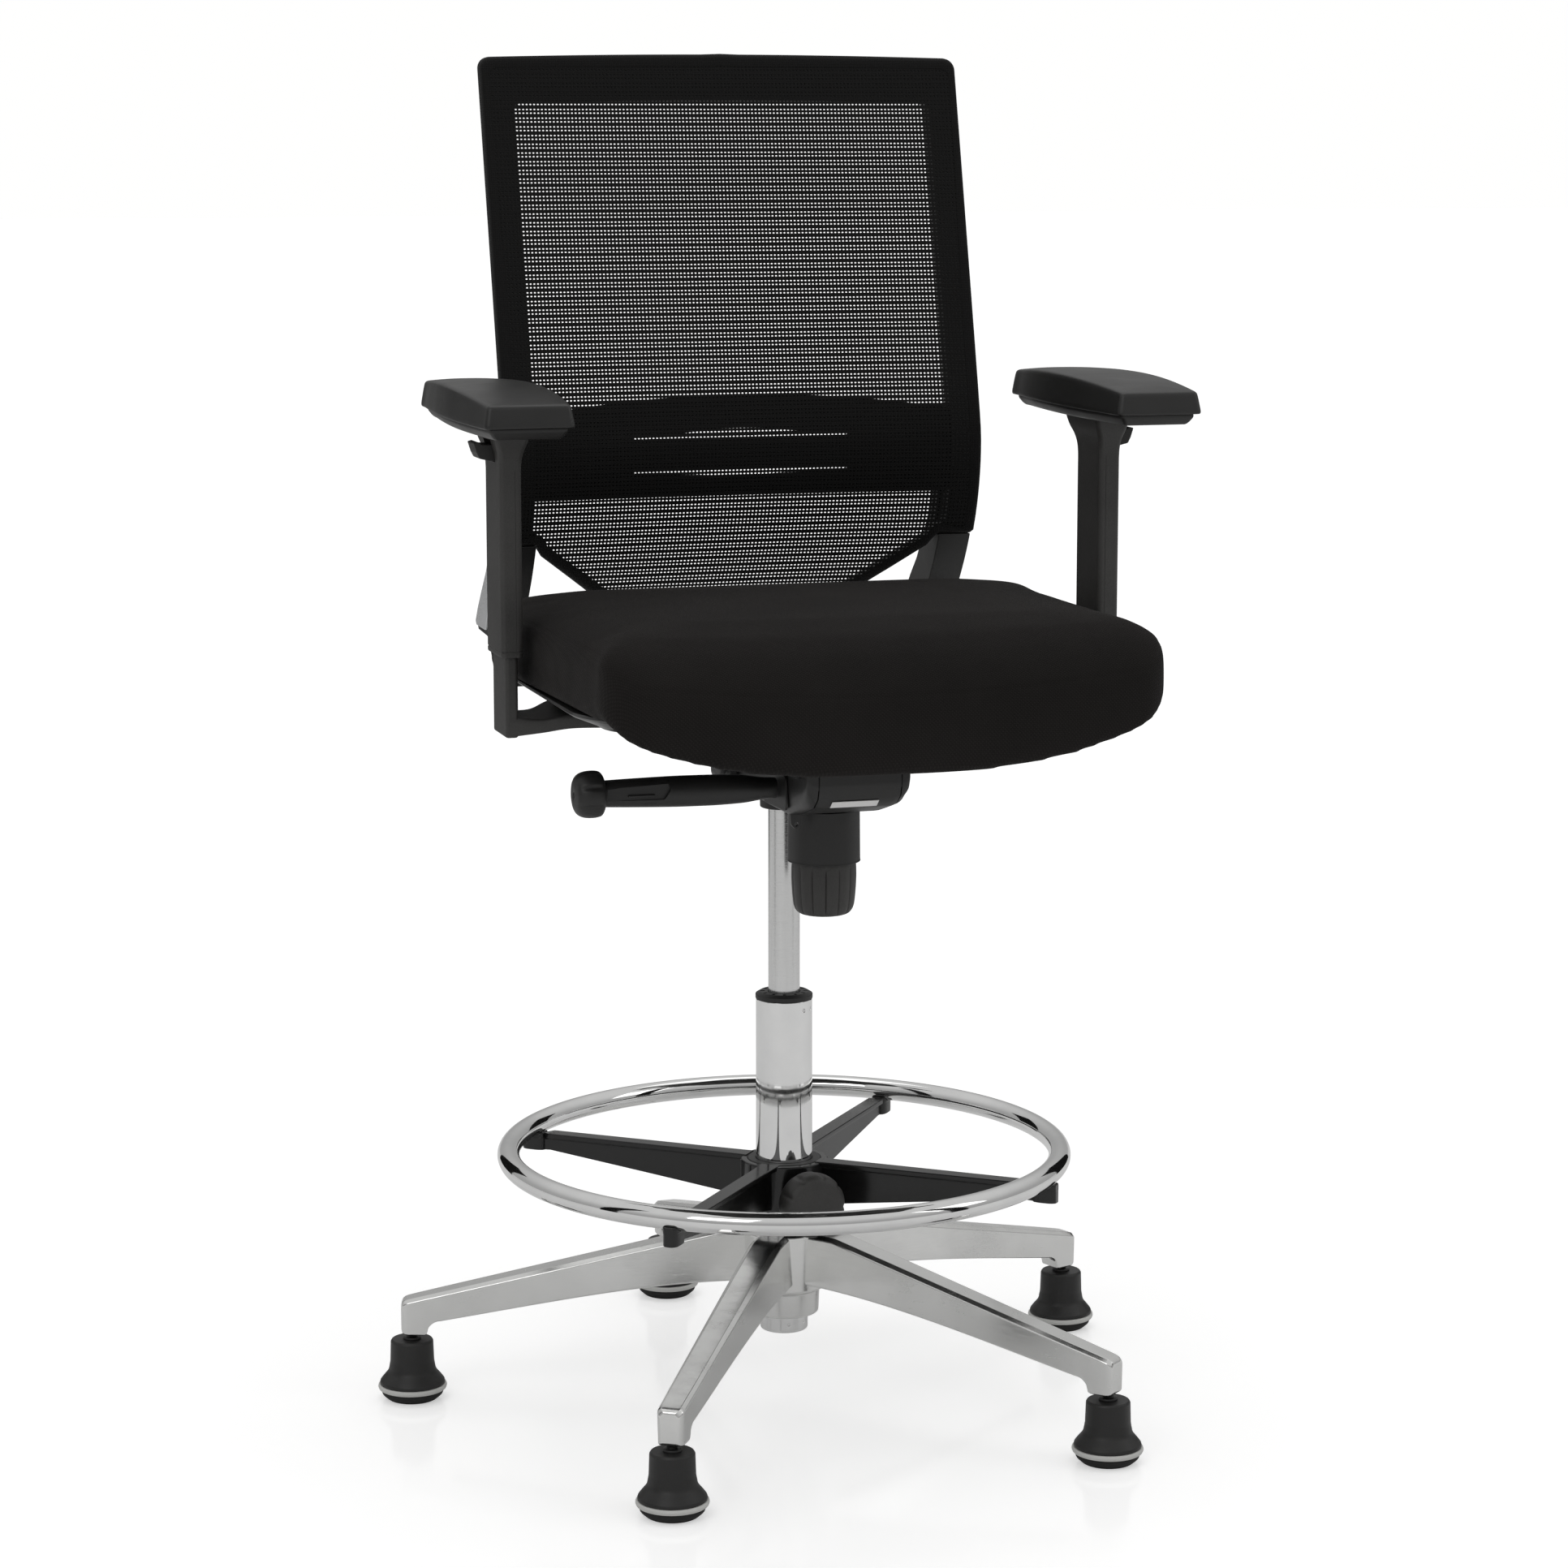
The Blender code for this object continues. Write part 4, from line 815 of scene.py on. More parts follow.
def make_mechanism():
    stations = [
        (-0.22, 0.5912, 0.607, 0.042, 0.006), (-0.2197, 0.5885, 0.6092, 0.044, 0.008),
        (-0.2185, 0.5848, 0.6112, 0.0448, 0.01), (-0.2162, 0.5785, 0.612, 0.045, 0.012),
        (-0.2105, 0.5737, 0.612, 0.045, 0.014), (-0.205, 0.5692, 0.612, 0.045, 0.015),
        (-0.195, 0.5662, 0.612, 0.045, 0.015), (-0.185, 0.5634, 0.6112, 0.045, 0.015),
        (-0.17, 0.5597, 0.606, 0.045, 0.013), (-0.16, 0.5572, 0.6042, 0.045, 0.012),
        (-0.15, 0.5553, 0.6022, 0.045, 0.01), (-0.1, 0.5551, 0.5938, 0.045, 0.008),
        (-0.04, 0.5551, 0.5838, 0.045, 0.008), (0.03, 0.5502, 0.5752, 0.045, 0.007),
        (0.08, 0.5512, 0.5742, 0.0445, 0.007), (0.0842, 0.5535, 0.5725, 0.0435, 0.005),
        (0.085, 0.556, 0.57, 0.042, 0.004),
    ]
    body = loft("mechanism_case", [housing_section(*row) for row in stations])
    boss_profile = fillet([(0, 0.536), (0.0212, 0.536), (0.0216, 0.56), (0, 0.56)], [0, 0.0015, 0, 0], 4)
    boolean(body, turned("boss", boss_profile, 64), "UNION")
    boolean(body, pin("socket", (0, 0, 0.5), (0, 0, 0.568), 0.0143, 0, 64))
    boolean(body, pin("front_hole", (-0.06, -0.19, 0.603), (0.06, -0.19, 0.603), 0.0043, 0, 32))
    for sign in (-1, 1):
        boolean(body, pin("rear_hole", (sign * 0.034, 0, 0.575), (sign * 0.06, 0, 0.575), 0.0053, 0, 32))
    # shallow parting line that separates the right-hand end cover from the front panel
    for x in (-0.0345, 0.0372):
        groove = block("parting", (x - 0.0005, -0.23, 0.54), (x + 0.0005, -0.1545, 0.62), 0)
        inner = block("keep", (x - 0.002, -0.2188, 0.574), (x + 0.002, -0.15, 0.611), 0)
        for v in inner.data.vertices:
            if v.co.z < 0.58 and v.co.y < -0.2:
                v.co.z += 0.013
            elif v.co.z < 0.58:
                v.co.z -= 0.0162
        boolean(groove, inner)
        boolean(body, groove)
    bosses = []
    corners = [(-0.168, 0.561), (-0.098, 0.559), (-0.098, 0.59), (-0.164, 0.5935)]
    cover = fillet(corners, [0.01, 0.006, 0.008, 0.01], 6)
    bosses.append(slab("end_cover", cover, 0.0026, facing_x(-0.0463), 0.0008, 2))
    bosses.append(pin("lever_ring", (-0.045, *LEVER[1:]), (-0.0471, *LEVER[1:]), 0.014, 0.0008, 48))
    corners = [(-0.04, 0.5595), (-0.029, 0.5595), (-0.03, 0.5475), (-0.0345, 0.5425), (-0.039, 0.5475)]
    ear = slab("lug", fillet(corners, 0.003, 5), 0.004, facing_y(-0.152), 0.0006, 2)
    boolean(ear, pin("lug_hole", (-0.0345, -0.16, 0.5478), (-0.0345, -0.145, 0.5478), 0.0019, 0, 24))
    bosses.append(ear)
    join(body, bosses)
    finish_piece(smooth(body, 34), PLASTIC, "mech", "black_plastic", "mech_housing")

    profile = fillet([
        (0, 0.5546), (0.0306, 0.5546), (0.031, 0.511), (0.0314, 0.5095), (0.0276, 0.5095),
        (0.0276, 0.52), (0, 0.52),
    ], [0, 0.0004, 0.02, 0.0005, 0.0005, 0, 0], 4)
    obj = smooth(turned("tension_shell", profile, 96, (0, TENSION_Y)), 40)
    finish_piece(obj, PLASTIC, "mech", "black_plastic", "tension_housing")

    flutes, per = 14, 24
    stations = [
        (0.519, 0.0254, 0.0), (0.512, 0.0264, 0.0), (0.5085, 0.0272, 0.15), (0.504, 0.0277, 0.8),
        (0.495, 0.0278, 1.0), (0.485, 0.0273, 1.0), (0.476, 0.0265, 1.0), (0.471, 0.0257, 1.0),
        (0.4675, 0.0243, 0.9), (0.4652, 0.0222, 0.6), (0.4638, 0.019, 0.25), (0.4632, 0.013, 0.0),
        (0.463, 0.002, 0.0),
    ]

    def place(row, angle, i):
        z, r, deep = row
        phase = (i % per) / per
        gap = min(phase, 1 - phase) * per
        cut = 0.0009 * math.exp(-(gap / 1.3) ** 2) + 0.0004 * (1 - math.sin(math.pi * phase))
        radius = r - deep * cut
        return (radius * math.cos(angle), TENSION_Y + radius * math.sin(angle), z)

    obj = smooth(swept("tension_grip", stations, 3, flutes * per, place), 50, False)
    finish_piece(obj, SLEEVE, "tension", "black_plastic", "tension_knob")

    plate = block("front_plate", (-0.0202, -0.0045, -0.0003), (0.0202, 0.0045, 0.0003), 0.0001)
    plate.data.transform(Matrix.Rotation(math.radians(90), 4, "X"))
    slope = Matrix.Rotation(math.radians(50.7), 4, "X")
    plate.data.transform(Matrix.Translation((-0.0012, -0.21093, 0.57296)) @ slope)
    finish_piece(smooth(plate, 30), LABEL, "mech", "white_label", "label_plate")

    obj = pin("tilt_pin", (-0.054, -0.19, 0.603), (0.054, -0.19, 0.603), 0.004, 0.0006)
    finish_piece(smooth(obj, 30), STEEL, "mech", "black_steel", "seat_pivot_pin")
    for sign, name in SIDES:
        obj = pin("pivot_bolt_" + name, (sign * 0.035, 0, 0.575), (sign * 0.0556, 0, 0.575), 0.005, 0.0004)
        head = pin("head", (sign * 0.055, 0, 0.575), (sign * 0.06, 0, 0.575), 0.0085, 0.001, 48)
        hexagon = pin("hex", (sign * 0.0575, 0, 0.575), (sign * 0.062, 0, 0.575), 0.0036, 0, 6)
        boolean(head, hexagon)
        join(obj, [head])
        finish_piece(smooth(obj, 30), STEEL, "mech", "black_steel", "back_pivot_bolt_" + name)


def make_lever():
    _, py, pz = LEVER
    stations = [
        (-0.0492, 0.0093, 0.0088), (-0.06, 0.0098, 0.0094), (-0.066, 0.0106, 0.0102),
        (-0.078, 0.012, 0.0118), (-0.1, 0.0129, 0.0129), (-0.12, 0.0131, 0.0131), (-0.14, 0.013, 0.013),
        (-0.17, 0.0121, 0.0122), (-0.195, 0.011, 0.0113), (-0.197, 0.0104, 0.0107),
    ]

    def shaft_point(row, angle, _):
        x, half_y, half_z = row
        centre = pz + 0.0018 * (x + 0.05) / -0.15
        return (x, py + half_y * math.cos(angle), centre + half_z * math.sin(angle))

    shaft = swept("seat_lever", stations, 7, 64, shaft_point)
    recess = fillet([
        (-0.1965, pz - 0.003), (-0.148, pz - 0.0036), (-0.1425, pz + 0.005), (-0.145, pz + 0.0105),
        (-0.1965, pz + 0.0088),
    ], [0.0005, 0.003, 0.003, 0.003, 0.0005], 5)
    boolean(shaft, slab("recess", recess, 0.008, facing_y(py - 0.014), 0))
    ridge = block("ridge", (-0.179, py - 0.0122, pz - 0.0006), (-0.156, py - 0.009, pz + 0.0012), 0.0007)
    join(shaft, [ridge])
    finish_piece(smooth(shaft, 32), PLASTIC, "lever", "black_plastic", "height_lever")

    centre = pz + 0.0018
    stations = [
        (-0.1974, 0.4, 0.0), (-0.1978, 0.62, 0.0), (-0.199, 0.82, 0.0), (-0.2012, 0.95, 0.3),
        (-0.205, 1.0, 1.0), (-0.211, 1.0, 1.0), (-0.216, 0.95, 0.8), (-0.22, 0.84, 0.3),
        (-0.2224, 0.66, 0.0), (-0.2232, 0.4, 0.0), (-0.223, 0.17, 0.0), (-0.2222, 0.13, 0.0),
        (-0.2205, 0.1, 0.0),
    ]

    def knob_point(row, angle, _):
        x, size, bite = row
        r = 0.0198 * size * (1 - 0.075 * bite * max(0.0, math.cos(7 * angle)) ** 3)
        return (x, py + r * math.cos(angle), centre + r * math.sin(angle))

    obj = smooth(swept("seat_lever_knob", stations, 3, 168, knob_point), 50, False)
    finish_piece(obj, PLASTIC, "lever_end", "black_plastic", "lever_knob")


# ---------------------------------------------------------------- seat

SEAT_TOP, SEAT_BOTTOM = 0.726, 0.6595


SEAT_HALF_W = 0.2505


def seat_outline(inset, n=14):
    """The seat's plan: narrower ahead of the arms, with a bowed front edge."""
    w = SEAT_HALF_W - inset
    front = -0.3197 + inset
    r_front, r_rear = max(0.02, 0.03 - inset), max(0.015, 0.11 - inset)
    points = rounded_box(-w, w, front, 0.15 - inset, r_front, r_rear, n)
    points += [((w - r_front) * (i / 16 - 1), front) for i in range(1, 32)]
    plan = []
    for x, y in points:
        bow = 0.0135 * smoothstep((-0.2 - y) / 0.12) * (1 - (x / SEAT_HALF_W) ** 2)
        plan.append((x * (1 - 0.05 * smoothstep((-0.08 + bow - y) / 0.15)), y - bow))
    return plan


def densify(points, step):
    """Even out a closed outline to roughly equal steps."""
    pts = [Vector((*p, 0)) for p in points]
    lengths = [(pts[(i + 1) % len(pts)] - pts[i]).length for i in range(len(pts))]
    total = sum(lengths)
    count = round(total / step)
    done, i, walked = [], 0, 0.0
    for k in range(count):
        target = total * k / count
        while walked + lengths[i] < target:
            walked += lengths[i]
            i += 1
        t = (target - walked) / lengths[i]
        q = pts[i].lerp(pts[(i + 1) % len(pts)], t)
        done.append((q.x, q.y))
    return done


def lip_depth(x, y):
    return 0.0442 * smoothstep((-0.285 - y) / 0.035) * (1 - min(1.0, abs(x) / 0.254) ** 3)


def top_drop(y):
    t = max(0.0, (-0.249 - y) / 0.0775)
    return 0.034 * t ** 2.8 + 0.014 * smoothstep((y + 0.05) / 0.2)


LIP_SPARE = 1.07  # smoothing takes this much off the front lip again


def cushion_shell(shrink):
    """The cushion's shape before it swells."""
    levels = [
        (0.06, "low", 0.0), (0.042, "low", 0.0), (0.03, "low", 0.0), (0.014, "low", 0.0003),
        (0.006, "low", 0.0018), (0.0015, "low", 0.006), (0.0, "low", 0.012), (0.0, "top", 0.02),
        (0.0006, "top", 0.0145), (0.0018, "top", 0.01), (0.0036, "top", 0.0078), (0.007, "top", 0.0052),
        (0.014, "top", 0.002), (0.024, "top", 0.0), (0.04, "top", -0.0018), (0.08, "top", -0.0048),
        (0.13, "top", -0.0052), (0.17, "top", -0.0053), (0.205, "top", -0.0054),
    ]
    rings = []
    for inset, side, value in levels:
        low = side == "low"
        rings.append([
            (x, y, SEAT_BOTTOM - LIP_SPARE * lip_depth(x, y) + value + shrink if low
             else SEAT_TOP - value - top_drop(y) - shrink)
            for x, y in seat_outline(inset + shrink)
        ])
    return loft("seat_pad", rings)


CLOTH_SETTINGS = {
    "quality": 5, "mass": 0.3, "tension_stiffness": 15, "compression_stiffness": 15, "shear_stiffness": 8,
    "bending_stiffness": 2.0, "use_pressure": True,
}


def swell(obj, pressure, cap, frames, hold):
    """Inflate a closed mesh with Cloth, except where hold(point) is true, and cap how far each point moves."""
    before = np.array([v.co for v in obj.data.vertices])
    mod = obj.modifiers.new("Cloth", "CLOTH")
    settings = mod.settings
    for key, value in CLOTH_SETTINGS.items():
        setattr(settings, key, value)
    settings.uniform_pressure_force = pressure
    settings.effector_weights.gravity = 0.0
    group = obj.vertex_groups.new(name="hold")
    group.add([i for i, co in enumerate(before) if hold(co)], 1.0, "REPLACE")
    settings.vertex_group_mass = "hold"
    mod.point_cache.frame_start = 1
    mod.point_cache.frame_end = frames
    for number in range(1, frames + 1):
        SCENE.frame_set(number)
    baked(obj)
    SCENE.frame_set(1)
    after = np.array([v.co for v in obj.data.vertices])
    move = after - before
    size = np.linalg.norm(move, axis=1, keepdims=True)
    move *= np.minimum(1.0, cap / np.maximum(size, 1e-9))
    for v, co in zip(obj.data.vertices, before + move):
        v.co = co
    obj.vertex_groups.clear()
    return obj


def press_seam(obj, route, width, depth):
    """Sink a sewn seam along a route: nearby points move in along their normals."""
    tree = KDTree(len(route))
    for i, point in enumerate(route):
        tree.insert(point, i)
    tree.balance()
    mesh = obj.data
    normals = [v.normal.copy() for v in mesh.vertices]
    for v, normal in zip(mesh.vertices, normals):
        distance = tree.find(v.co)[2]
        if distance < width * 2.5:
            v.co -= normal * depth * math.exp(-(distance / width) ** 2)
    return obj


def snap_route(obj, points):
    """Lay a route's points on the mesh."""
    tree = BVHTree.FromObject(obj, bpy.context.evaluated_depsgraph_get())
    return [tree.find_nearest(Vector(p))[0] for p in points]


def seam_route(inset, drop):
    return [(x, y, SEAT_TOP - drop - top_drop(y)) for x, y in densify(seat_outline(inset, 20), 0.0012)]


def make_seat():
    pad = cushion_shell(-0.0008)
    modify(pad, "REMESH", mode="VOXEL", voxel_size=0.0048)
    modify(pad, "SMOOTH", iterations=8)
    swell(pad, 4.0, 0.002, 20, lambda co: co[2] < 0.664 and co[1] > -0.27)
    modify(pad, "SMOOTH", iterations=1)
    modify(pad, "SUBSURF", levels=1, render_levels=1)
    bpy.context.view_layer.update()
    press_seam(pad, snap_route(pad, seam_route(0.0032, 0.0086)), 0.0015, 0.0006)
    smooth(pad, 70, False)
    finish_piece(pad, CLOTH, "seat", "black_fabric", "seat_cushion")

    rings = []
    for z, d in (
        (0.6431, 0.0275), (0.6434, 0.0262), (0.6442, 0.025), (0.6455, 0.0235), (0.654, 0.0028),
        (0.6551, 0.001), (0.6562, 0.0), (0.6581, 0.0), (0.6586, 0.0004),
    ):
        edge = rounded_box(-0.239 + d, 0.239 - d, -0.272 + d, 0.142 - d, 0.075 - d, 0.095 - d, 16)
        rings.append([(x, y, z) for x, y in edge])
    pan = loft("seat_shell", rings)
    finish_piece(smooth(pan, 35), PAN_BLACK, "seat", "black_plastic", "seat_pan")

    plate = block("seat_carrier", (-0.105, -0.206, 0.616), (0.105, 0.09, 0.62), 0)
    for sign in (-1, 1):
        boolean(plate, side_block("ear", sign, (0.0456, -0.205, 0.595), (0.0506, -0.175, 0.617)), "UNION")
        boolean(plate, side_block("rail", sign, (0.078, -0.19, 0.619), (0.09, 0.08, 0.6428)), "UNION")
    boolean(plate, pin("ear_hole", (-0.08, -0.19, 0.603), (0.08, -0.19, 0.603), 0.0043, 0, 32))
    bevel(plate, 0.0008, 2)
    join(plate, [
        pin("screw", (x, y, 0.616), (x, y, 0.6138), 0.006, 0.0008, 32)
        for x in (-0.064, 0.064) for y in (-0.17, 0.06)
    ])
    finish_piece(smooth(plate, 30), STEEL, "seat", "black_steel", "seat_plate")


# ---------------------------------------------------------------- arms

POST_X, POST_Y = 0.264, -0.0695
SLEEVE_HALF_W, SLEEVE_HALF_D = 0.0095, 0.0285


def make_bracket(name, sign):
    stations = [
        (0.125, 0.6305, 0.6427, -0.118, 0.005), (0.18, 0.63, 0.6427, -0.115, 0.002),
        (0.214, 0.629, 0.642, -0.104, -0.014), (0.238, 0.6255, 0.6375, -0.0985, -0.033),
        (0.2675, 0.6222, 0.64, POST_Y - 0.0249, POST_Y + 0.0249),
    ]
    rings = []
    for x, z0, z1, y0, y1 in blend_rows(stations, 8):
        plan = [(y0, z0), (y1, z0), (y1, z1), (y0, z1)]
        rings.append([(sign * x, y, z) for y, z in fillet(plan, 0.0048, 5)])
    foot = loft("foot", rings)
    x = sign * POST_X
    points = rounded_box(x - 0.0055, x + 0.0055, POST_Y - 0.025, POST_Y + 0.025, 0.0032, 0.0032, 6)
    post = slab(name, points, 0.168, Matrix.Translation((0, 0, 0.706)), 0.002, 3)
    boolean(post, foot, "UNION")
    return smooth(post, 32)


def sleeve_section(sign, z, spread, outward, front, rear):
    inner, outer = POST_X - SLEEVE_HALF_W - spread, POST_X + SLEEVE_HALF_W + outward
    x0, x1 = sorted((sign * inner, sign * outer))
    y0, y1 = POST_Y - SLEEVE_HALF_D - front, POST_Y + SLEEVE_HALF_D + rear
    plan = rounded_box(x0, x1, y0, y1, 0.0042, 0.0042, 6)
    return [(x, y, z) for x, y in plan]


def make_sleeve(name, sign):
    plain, inset = (0, 0, 0, 0), (-0.0004,) * 4
    stations = [
        (0.69, *(-0.0012,) * 4), (0.6903, *inset), (0.6915, *plain), (0.694, *plain), (0.6944, *inset),
        (0.695, *inset), (0.6954, *plain), (0.7, *plain), (0.77, *plain),
    ]
    stations += blend_rows([
        (0.844, *plain), (0.853, 0.0004, 0.0003, 0.0008, 0.0012), (0.861, 0.0018, 0.0015, 0.003, 0.0045),
        (0.869, 0.0045, 0.004, 0.0062, 0.01), (0.8765, 0.006, 0.0055, 0.008, 0.014),
    ], 6)
    stations.append((0.8775, 0.0054, 0.0049, 0.0074, 0.0134))
    sleeve = loft(name, [sleeve_section(sign, *row) for row in stations])
    cavity_low = (POST_X - 0.0061, POST_Y - 0.0256, 0.6)
    cavity_high = (POST_X + 0.0061, POST_Y + 0.0256, 0.845)
    boolean(sleeve, side_block("cavity", sign, cavity_low, cavity_high))
    pocket_low, pocket_high = (0.2655, POST_Y - 0.0135, 0.852), (0.3, POST_Y + 0.0135, 0.8705)
    boolean(sleeve, side_block("pocket", sign, pocket_low, pocket_high))
    # fine parting line down the front face, towards the outer edge
    x, y = sign * (POST_X - 0.0036), POST_Y - SLEEVE_HALF_D
    boolean(sleeve, block("line", (x - 0.0002, y - 0.0015, 0.688), (x + 0.0002, y + 0.0003, 0.846), 0))
    return smooth(sleeve, 32)


def make_button(name, sign):
    side = [
        (0.269, 0.8525), (0.28, 0.8535), (0.2865, 0.855), (0.289, 0.86), (0.2915, 0.868), (0.288, 0.869),
        (0.284, 0.8668), (0.269, 0.8665),
    ]
    points = fillet(side, [0, 0.002, 0.002, 0.002, 0.0008, 0.0012, 0.002, 0], 4)
    points = [(sign * x, z) for x, z in points]
    if sign < 0:
        points.reverse()
    return smooth(slab(name, points, 0.0255, facing_y(POST_Y), 0.0007, 3), 34)


PAD_X, PAD_FRONT, PAD_REAR, PAD_LOW = 0.2698, -0.2, 0.088, 0.8878


def half_width(t):
    return 0.0375 + 0.0055 * math.sin(math.pi * min(1.0, t * 1.05)) - 0.004 * t * t


def pad_plan(sign, inset):
    front, rear = PAD_FRONT + inset, PAD_REAR - inset
    corner, back = max(0.0015, 0.0052 - 0.3 * inset), max(0.004, 0.013 - 0.3 * inset)
    start, straight = half_width(0) - inset - corner, rear - front - corner - back
    right = [(start + corner * s, front + corner - corner * c) for c, s in quarter(6)]
    right += [(half_width(i / 40) - inset, front + corner + straight * i / 40) for i in range(1, 40)]
    wide = half_width(1.0) - inset
    right += [(wide - back + back * c, rear - back + back * s) for c, s in quarter(8)]
    left = [(-x, y) for x, y in reversed(right)]
    return [(sign * PAD_X + x, y) for x, y in right + left]


def pad_crown(y):
    t = (y - PAD_FRONT) / (PAD_REAR - PAD_FRONT)
    return 0.9065 + 0.031 * t - 0.0283 * t * t


def make_pad(name, sign):
    tray_rows = [
        (0.8787, 0.0125), (0.8788, 0.0108), (0.8796, 0.0094), (0.8812, 0.0078), (0.8842, 0.0056),
        (0.8856, 0.005), (0.8872, 0.005), (0.8875, 0.0056),
    ]
    rings = [[(x, y, z) for x, y in pad_plan(sign, inset)] for z, inset in tray_rows]
    tray = loft("pad_tray_" + name, rings)
    x, y = sign * PAD_X, -0.135
    join(tray, [pin("screw", (x, y, 0.88), (x, y, 0.8782), 0.004, 0.0004, 32)])
    finish_piece(smooth(tray, 36), PLASTIC, "arm_rest_" + name, "black_plastic", "arm_tray_" + name)

    profile = [
        (0.0022, 0.0), (0.0008, 0.008), (0.0002, 0.04), (0.0, 0.1), (0.0002, 0.2), (0.0009, 0.4),
        (0.0016, 0.6), (0.0024, 0.8), (0.003, 0.9), (0.004, 0.955), (0.0056, 0.985), (0.008, 0.998),
        (0.012, 1.01), (0.016, 1.022), (0.021, 1.034), (0.026, 1.04), (0.03, 1.042),
    ]
    rings = [
        [(x, y, PAD_LOW + (pad_crown(y) - PAD_LOW) * share) for x, y in pad_plan(sign, inset)]
        for inset, share in profile
    ]
    pad = loft("arm_pad_top_" + name, rings, caps=False)
    bm = bmesh.new()
    bm.from_mesh(pad.data)
    count = len(rings[0])
    verts = list(bm.verts)
    last = verts[-count:]
    # close the top with a strip between its two long sides, and the underside with one face
    for i in range(count // 2 - 1):
        bm.faces.new((last[i], last[i + 1], last[count - 2 - i], last[count - 1 - i]))
    bm.faces.new(verts[:count])
    bmesh.ops.recalc_face_normals(bm, faces=bm.faces)
    bm.to_mesh(pad.data)
    bm.free()
    finish_piece(smooth(pad, 40), SOFT, "arm_rest_" + name, "soft_touch_plastic", "arm_pad_" + name)


def make_arms():
    for sign, name in SIDES:
        obj = make_bracket("arm_post_" + name, sign)
        finish_piece(obj, SLEEVE, "seat", "black_plastic", "arm_bracket_" + name)
        obj = make_sleeve("arm_tube_" + name, sign)
        finish_piece(obj, SLEEVE, "arm_" + name, "black_plastic", "arm_sleeve_" + name)
        obj = make_button("arm_trigger_" + name, sign)
        finish_piece(obj, PLASTIC, "arm_release_" + name, "black_plastic", "arm_button_" + name)
        make_pad(name, sign)


# ---------------------------------------------------------------- back

BACK_W, OPENING_W = 0.2215, 0.193


def back_front(z):
    if z > 0.842:
        return 0.1135 + math.hypot(0.262 * (z - 0.842), 0.004) - 0.004
    return 0.1135 + 3.0 * (0.842 - z) ** 2


def back_surface(x, z):
    hollow = 0.016 * max(0.0, min(1.0, (1.16 - z) / 0.3))
    return back_front(z) + hollow * (1 - (x / BACK_W) ** 2)


def border_pairs():
    """Matching points of the back's outer edge and of its opening, over the whole loop."""
    half = []
    for i in range(13):
        x, xi = 0.2115 * i / 12, 0.187 * i / 12
        # the top rail has a faint peak in the middle
        crest = 0.003 * (1 - (x / BACK_W) ** 2) + 0.0006 * math.exp(-(x / 0.006) ** 2)
        half.append(((x, 1.186 + crest), (xi, 1.145 + 0.002 * (1 - (xi / OPENING_W) ** 2))))
    for c, s in quarter(8, 1):
        half.append(((0.2115 + 0.01 * s, 1.176 + 0.01 * c), (0.187 + 0.006 * s, 1.139 + 0.006 * c)))
    for k in range(1, 41):
        t = k / 40
        half.append(((BACK_W, 1.176 - 0.402 * t), (OPENING_W, 1.139 - 0.35 * t)))
    half += [
        ((BACK_W, 0.76), (OPENING_W, 0.7745)), ((0.2185, 0.7573), (0.1922, 0.7718)),
        ((0.2, 0.757), (0.19, 0.7694)), ((0.188, 0.7566), (0.1868, 0.7664)),
        ((0.1845, 0.752), (0.183, 0.762)), ((0.18, 0.7455), (0.178, 0.7562)),
        ((0.15, 0.7234), (0.147, 0.7338)), ((0.122, 0.7027), (0.118, 0.7124)),
        ((0.116, 0.6991), (0.113, 0.7093)), ((0.108, 0.6974), (0.106, 0.7072)),
        ((0.07, 0.697), (0.07, 0.707)), ((0.035, 0.697), (0.035, 0.707)),
    ]
    left = [((-o[0], o[1]), (-i[0], i[1])) for o, i in reversed(half[1:])]
    return half + [((0, 0.697), (0, 0.707))] + left


def band_loop(name, layout, closed=False):
    """A band along the border. Its section is rows of (from the outer edge or from the opening, how far, depth)."""
    rings = []
    for outer, inner in border_pairs():
        start = Vector(outer)
        reach = Vector(inner) - start
        ring = []
        for from_outer, offset, depth in layout:
            x, z = start + reach * ((offset if from_outer else reach.length - offset) / reach.length)
            ring.append((x, back_surface(x, z) + depth, z))
        rings.append(ring)
    return loft(name, rings, cyclic=True, open_rings=not closed)


def make_back_frame():
    face, rear, r = 0.0016, 0.0178, 0.0042
    layout = [(True, 0.0008 + r - r * c, rear - r + r * s) for c, s in quarter(6)]
    layout.append((False, 0.004, rear))
    layout += [(False, 0.002 - 0.002 * s, rear - 0.002 + 0.002 * c) for c, s in quarter(4, 1)]
    layout += [(False, 0.0, face + 0.002), (False, 0.001, face)]
    layout += [(True, 0.0008 + r - r * s, face + r - r * c) for c, s in quarter(6)]
    frame_obj = band_loop("back_rail", layout, closed=True)
    finish_piece(smooth(frame_obj, 36), PLASTIC, "back", "black_plastic", "back_frame")


def inside_outline(x, z, outline):
    """Even-odd test for a point in a polygon."""
    hit = False
    n = len(outline)
    for i in range(n):
        x0, z0 = outline[i]
        x1, z1 = outline[(i + 1) % n]
        if (z0 > z) != (z1 > z) and x < (x1 - x0) * (z - z0) / (z1 - z0) + x0:
            hit = not hit
    return hit


CELL_W, PAIR, NEAR = 0.0034, 0.0076, 0.0032  # rows of holes come in pairs
HOLE_HALF_W, HOLE_HALF_H = 0.00092, 0.00054
HOLE = [(1.0, 0.0), (0.62, 1.0), (-0.62, 1.0), (-1.0, 0.0), (-0.62, -1.0), (0.62, -1.0)]
SHEET_LOW, SHEET_TOP, SHEET_DEPTH = 0.696, 1.192, 0.0006


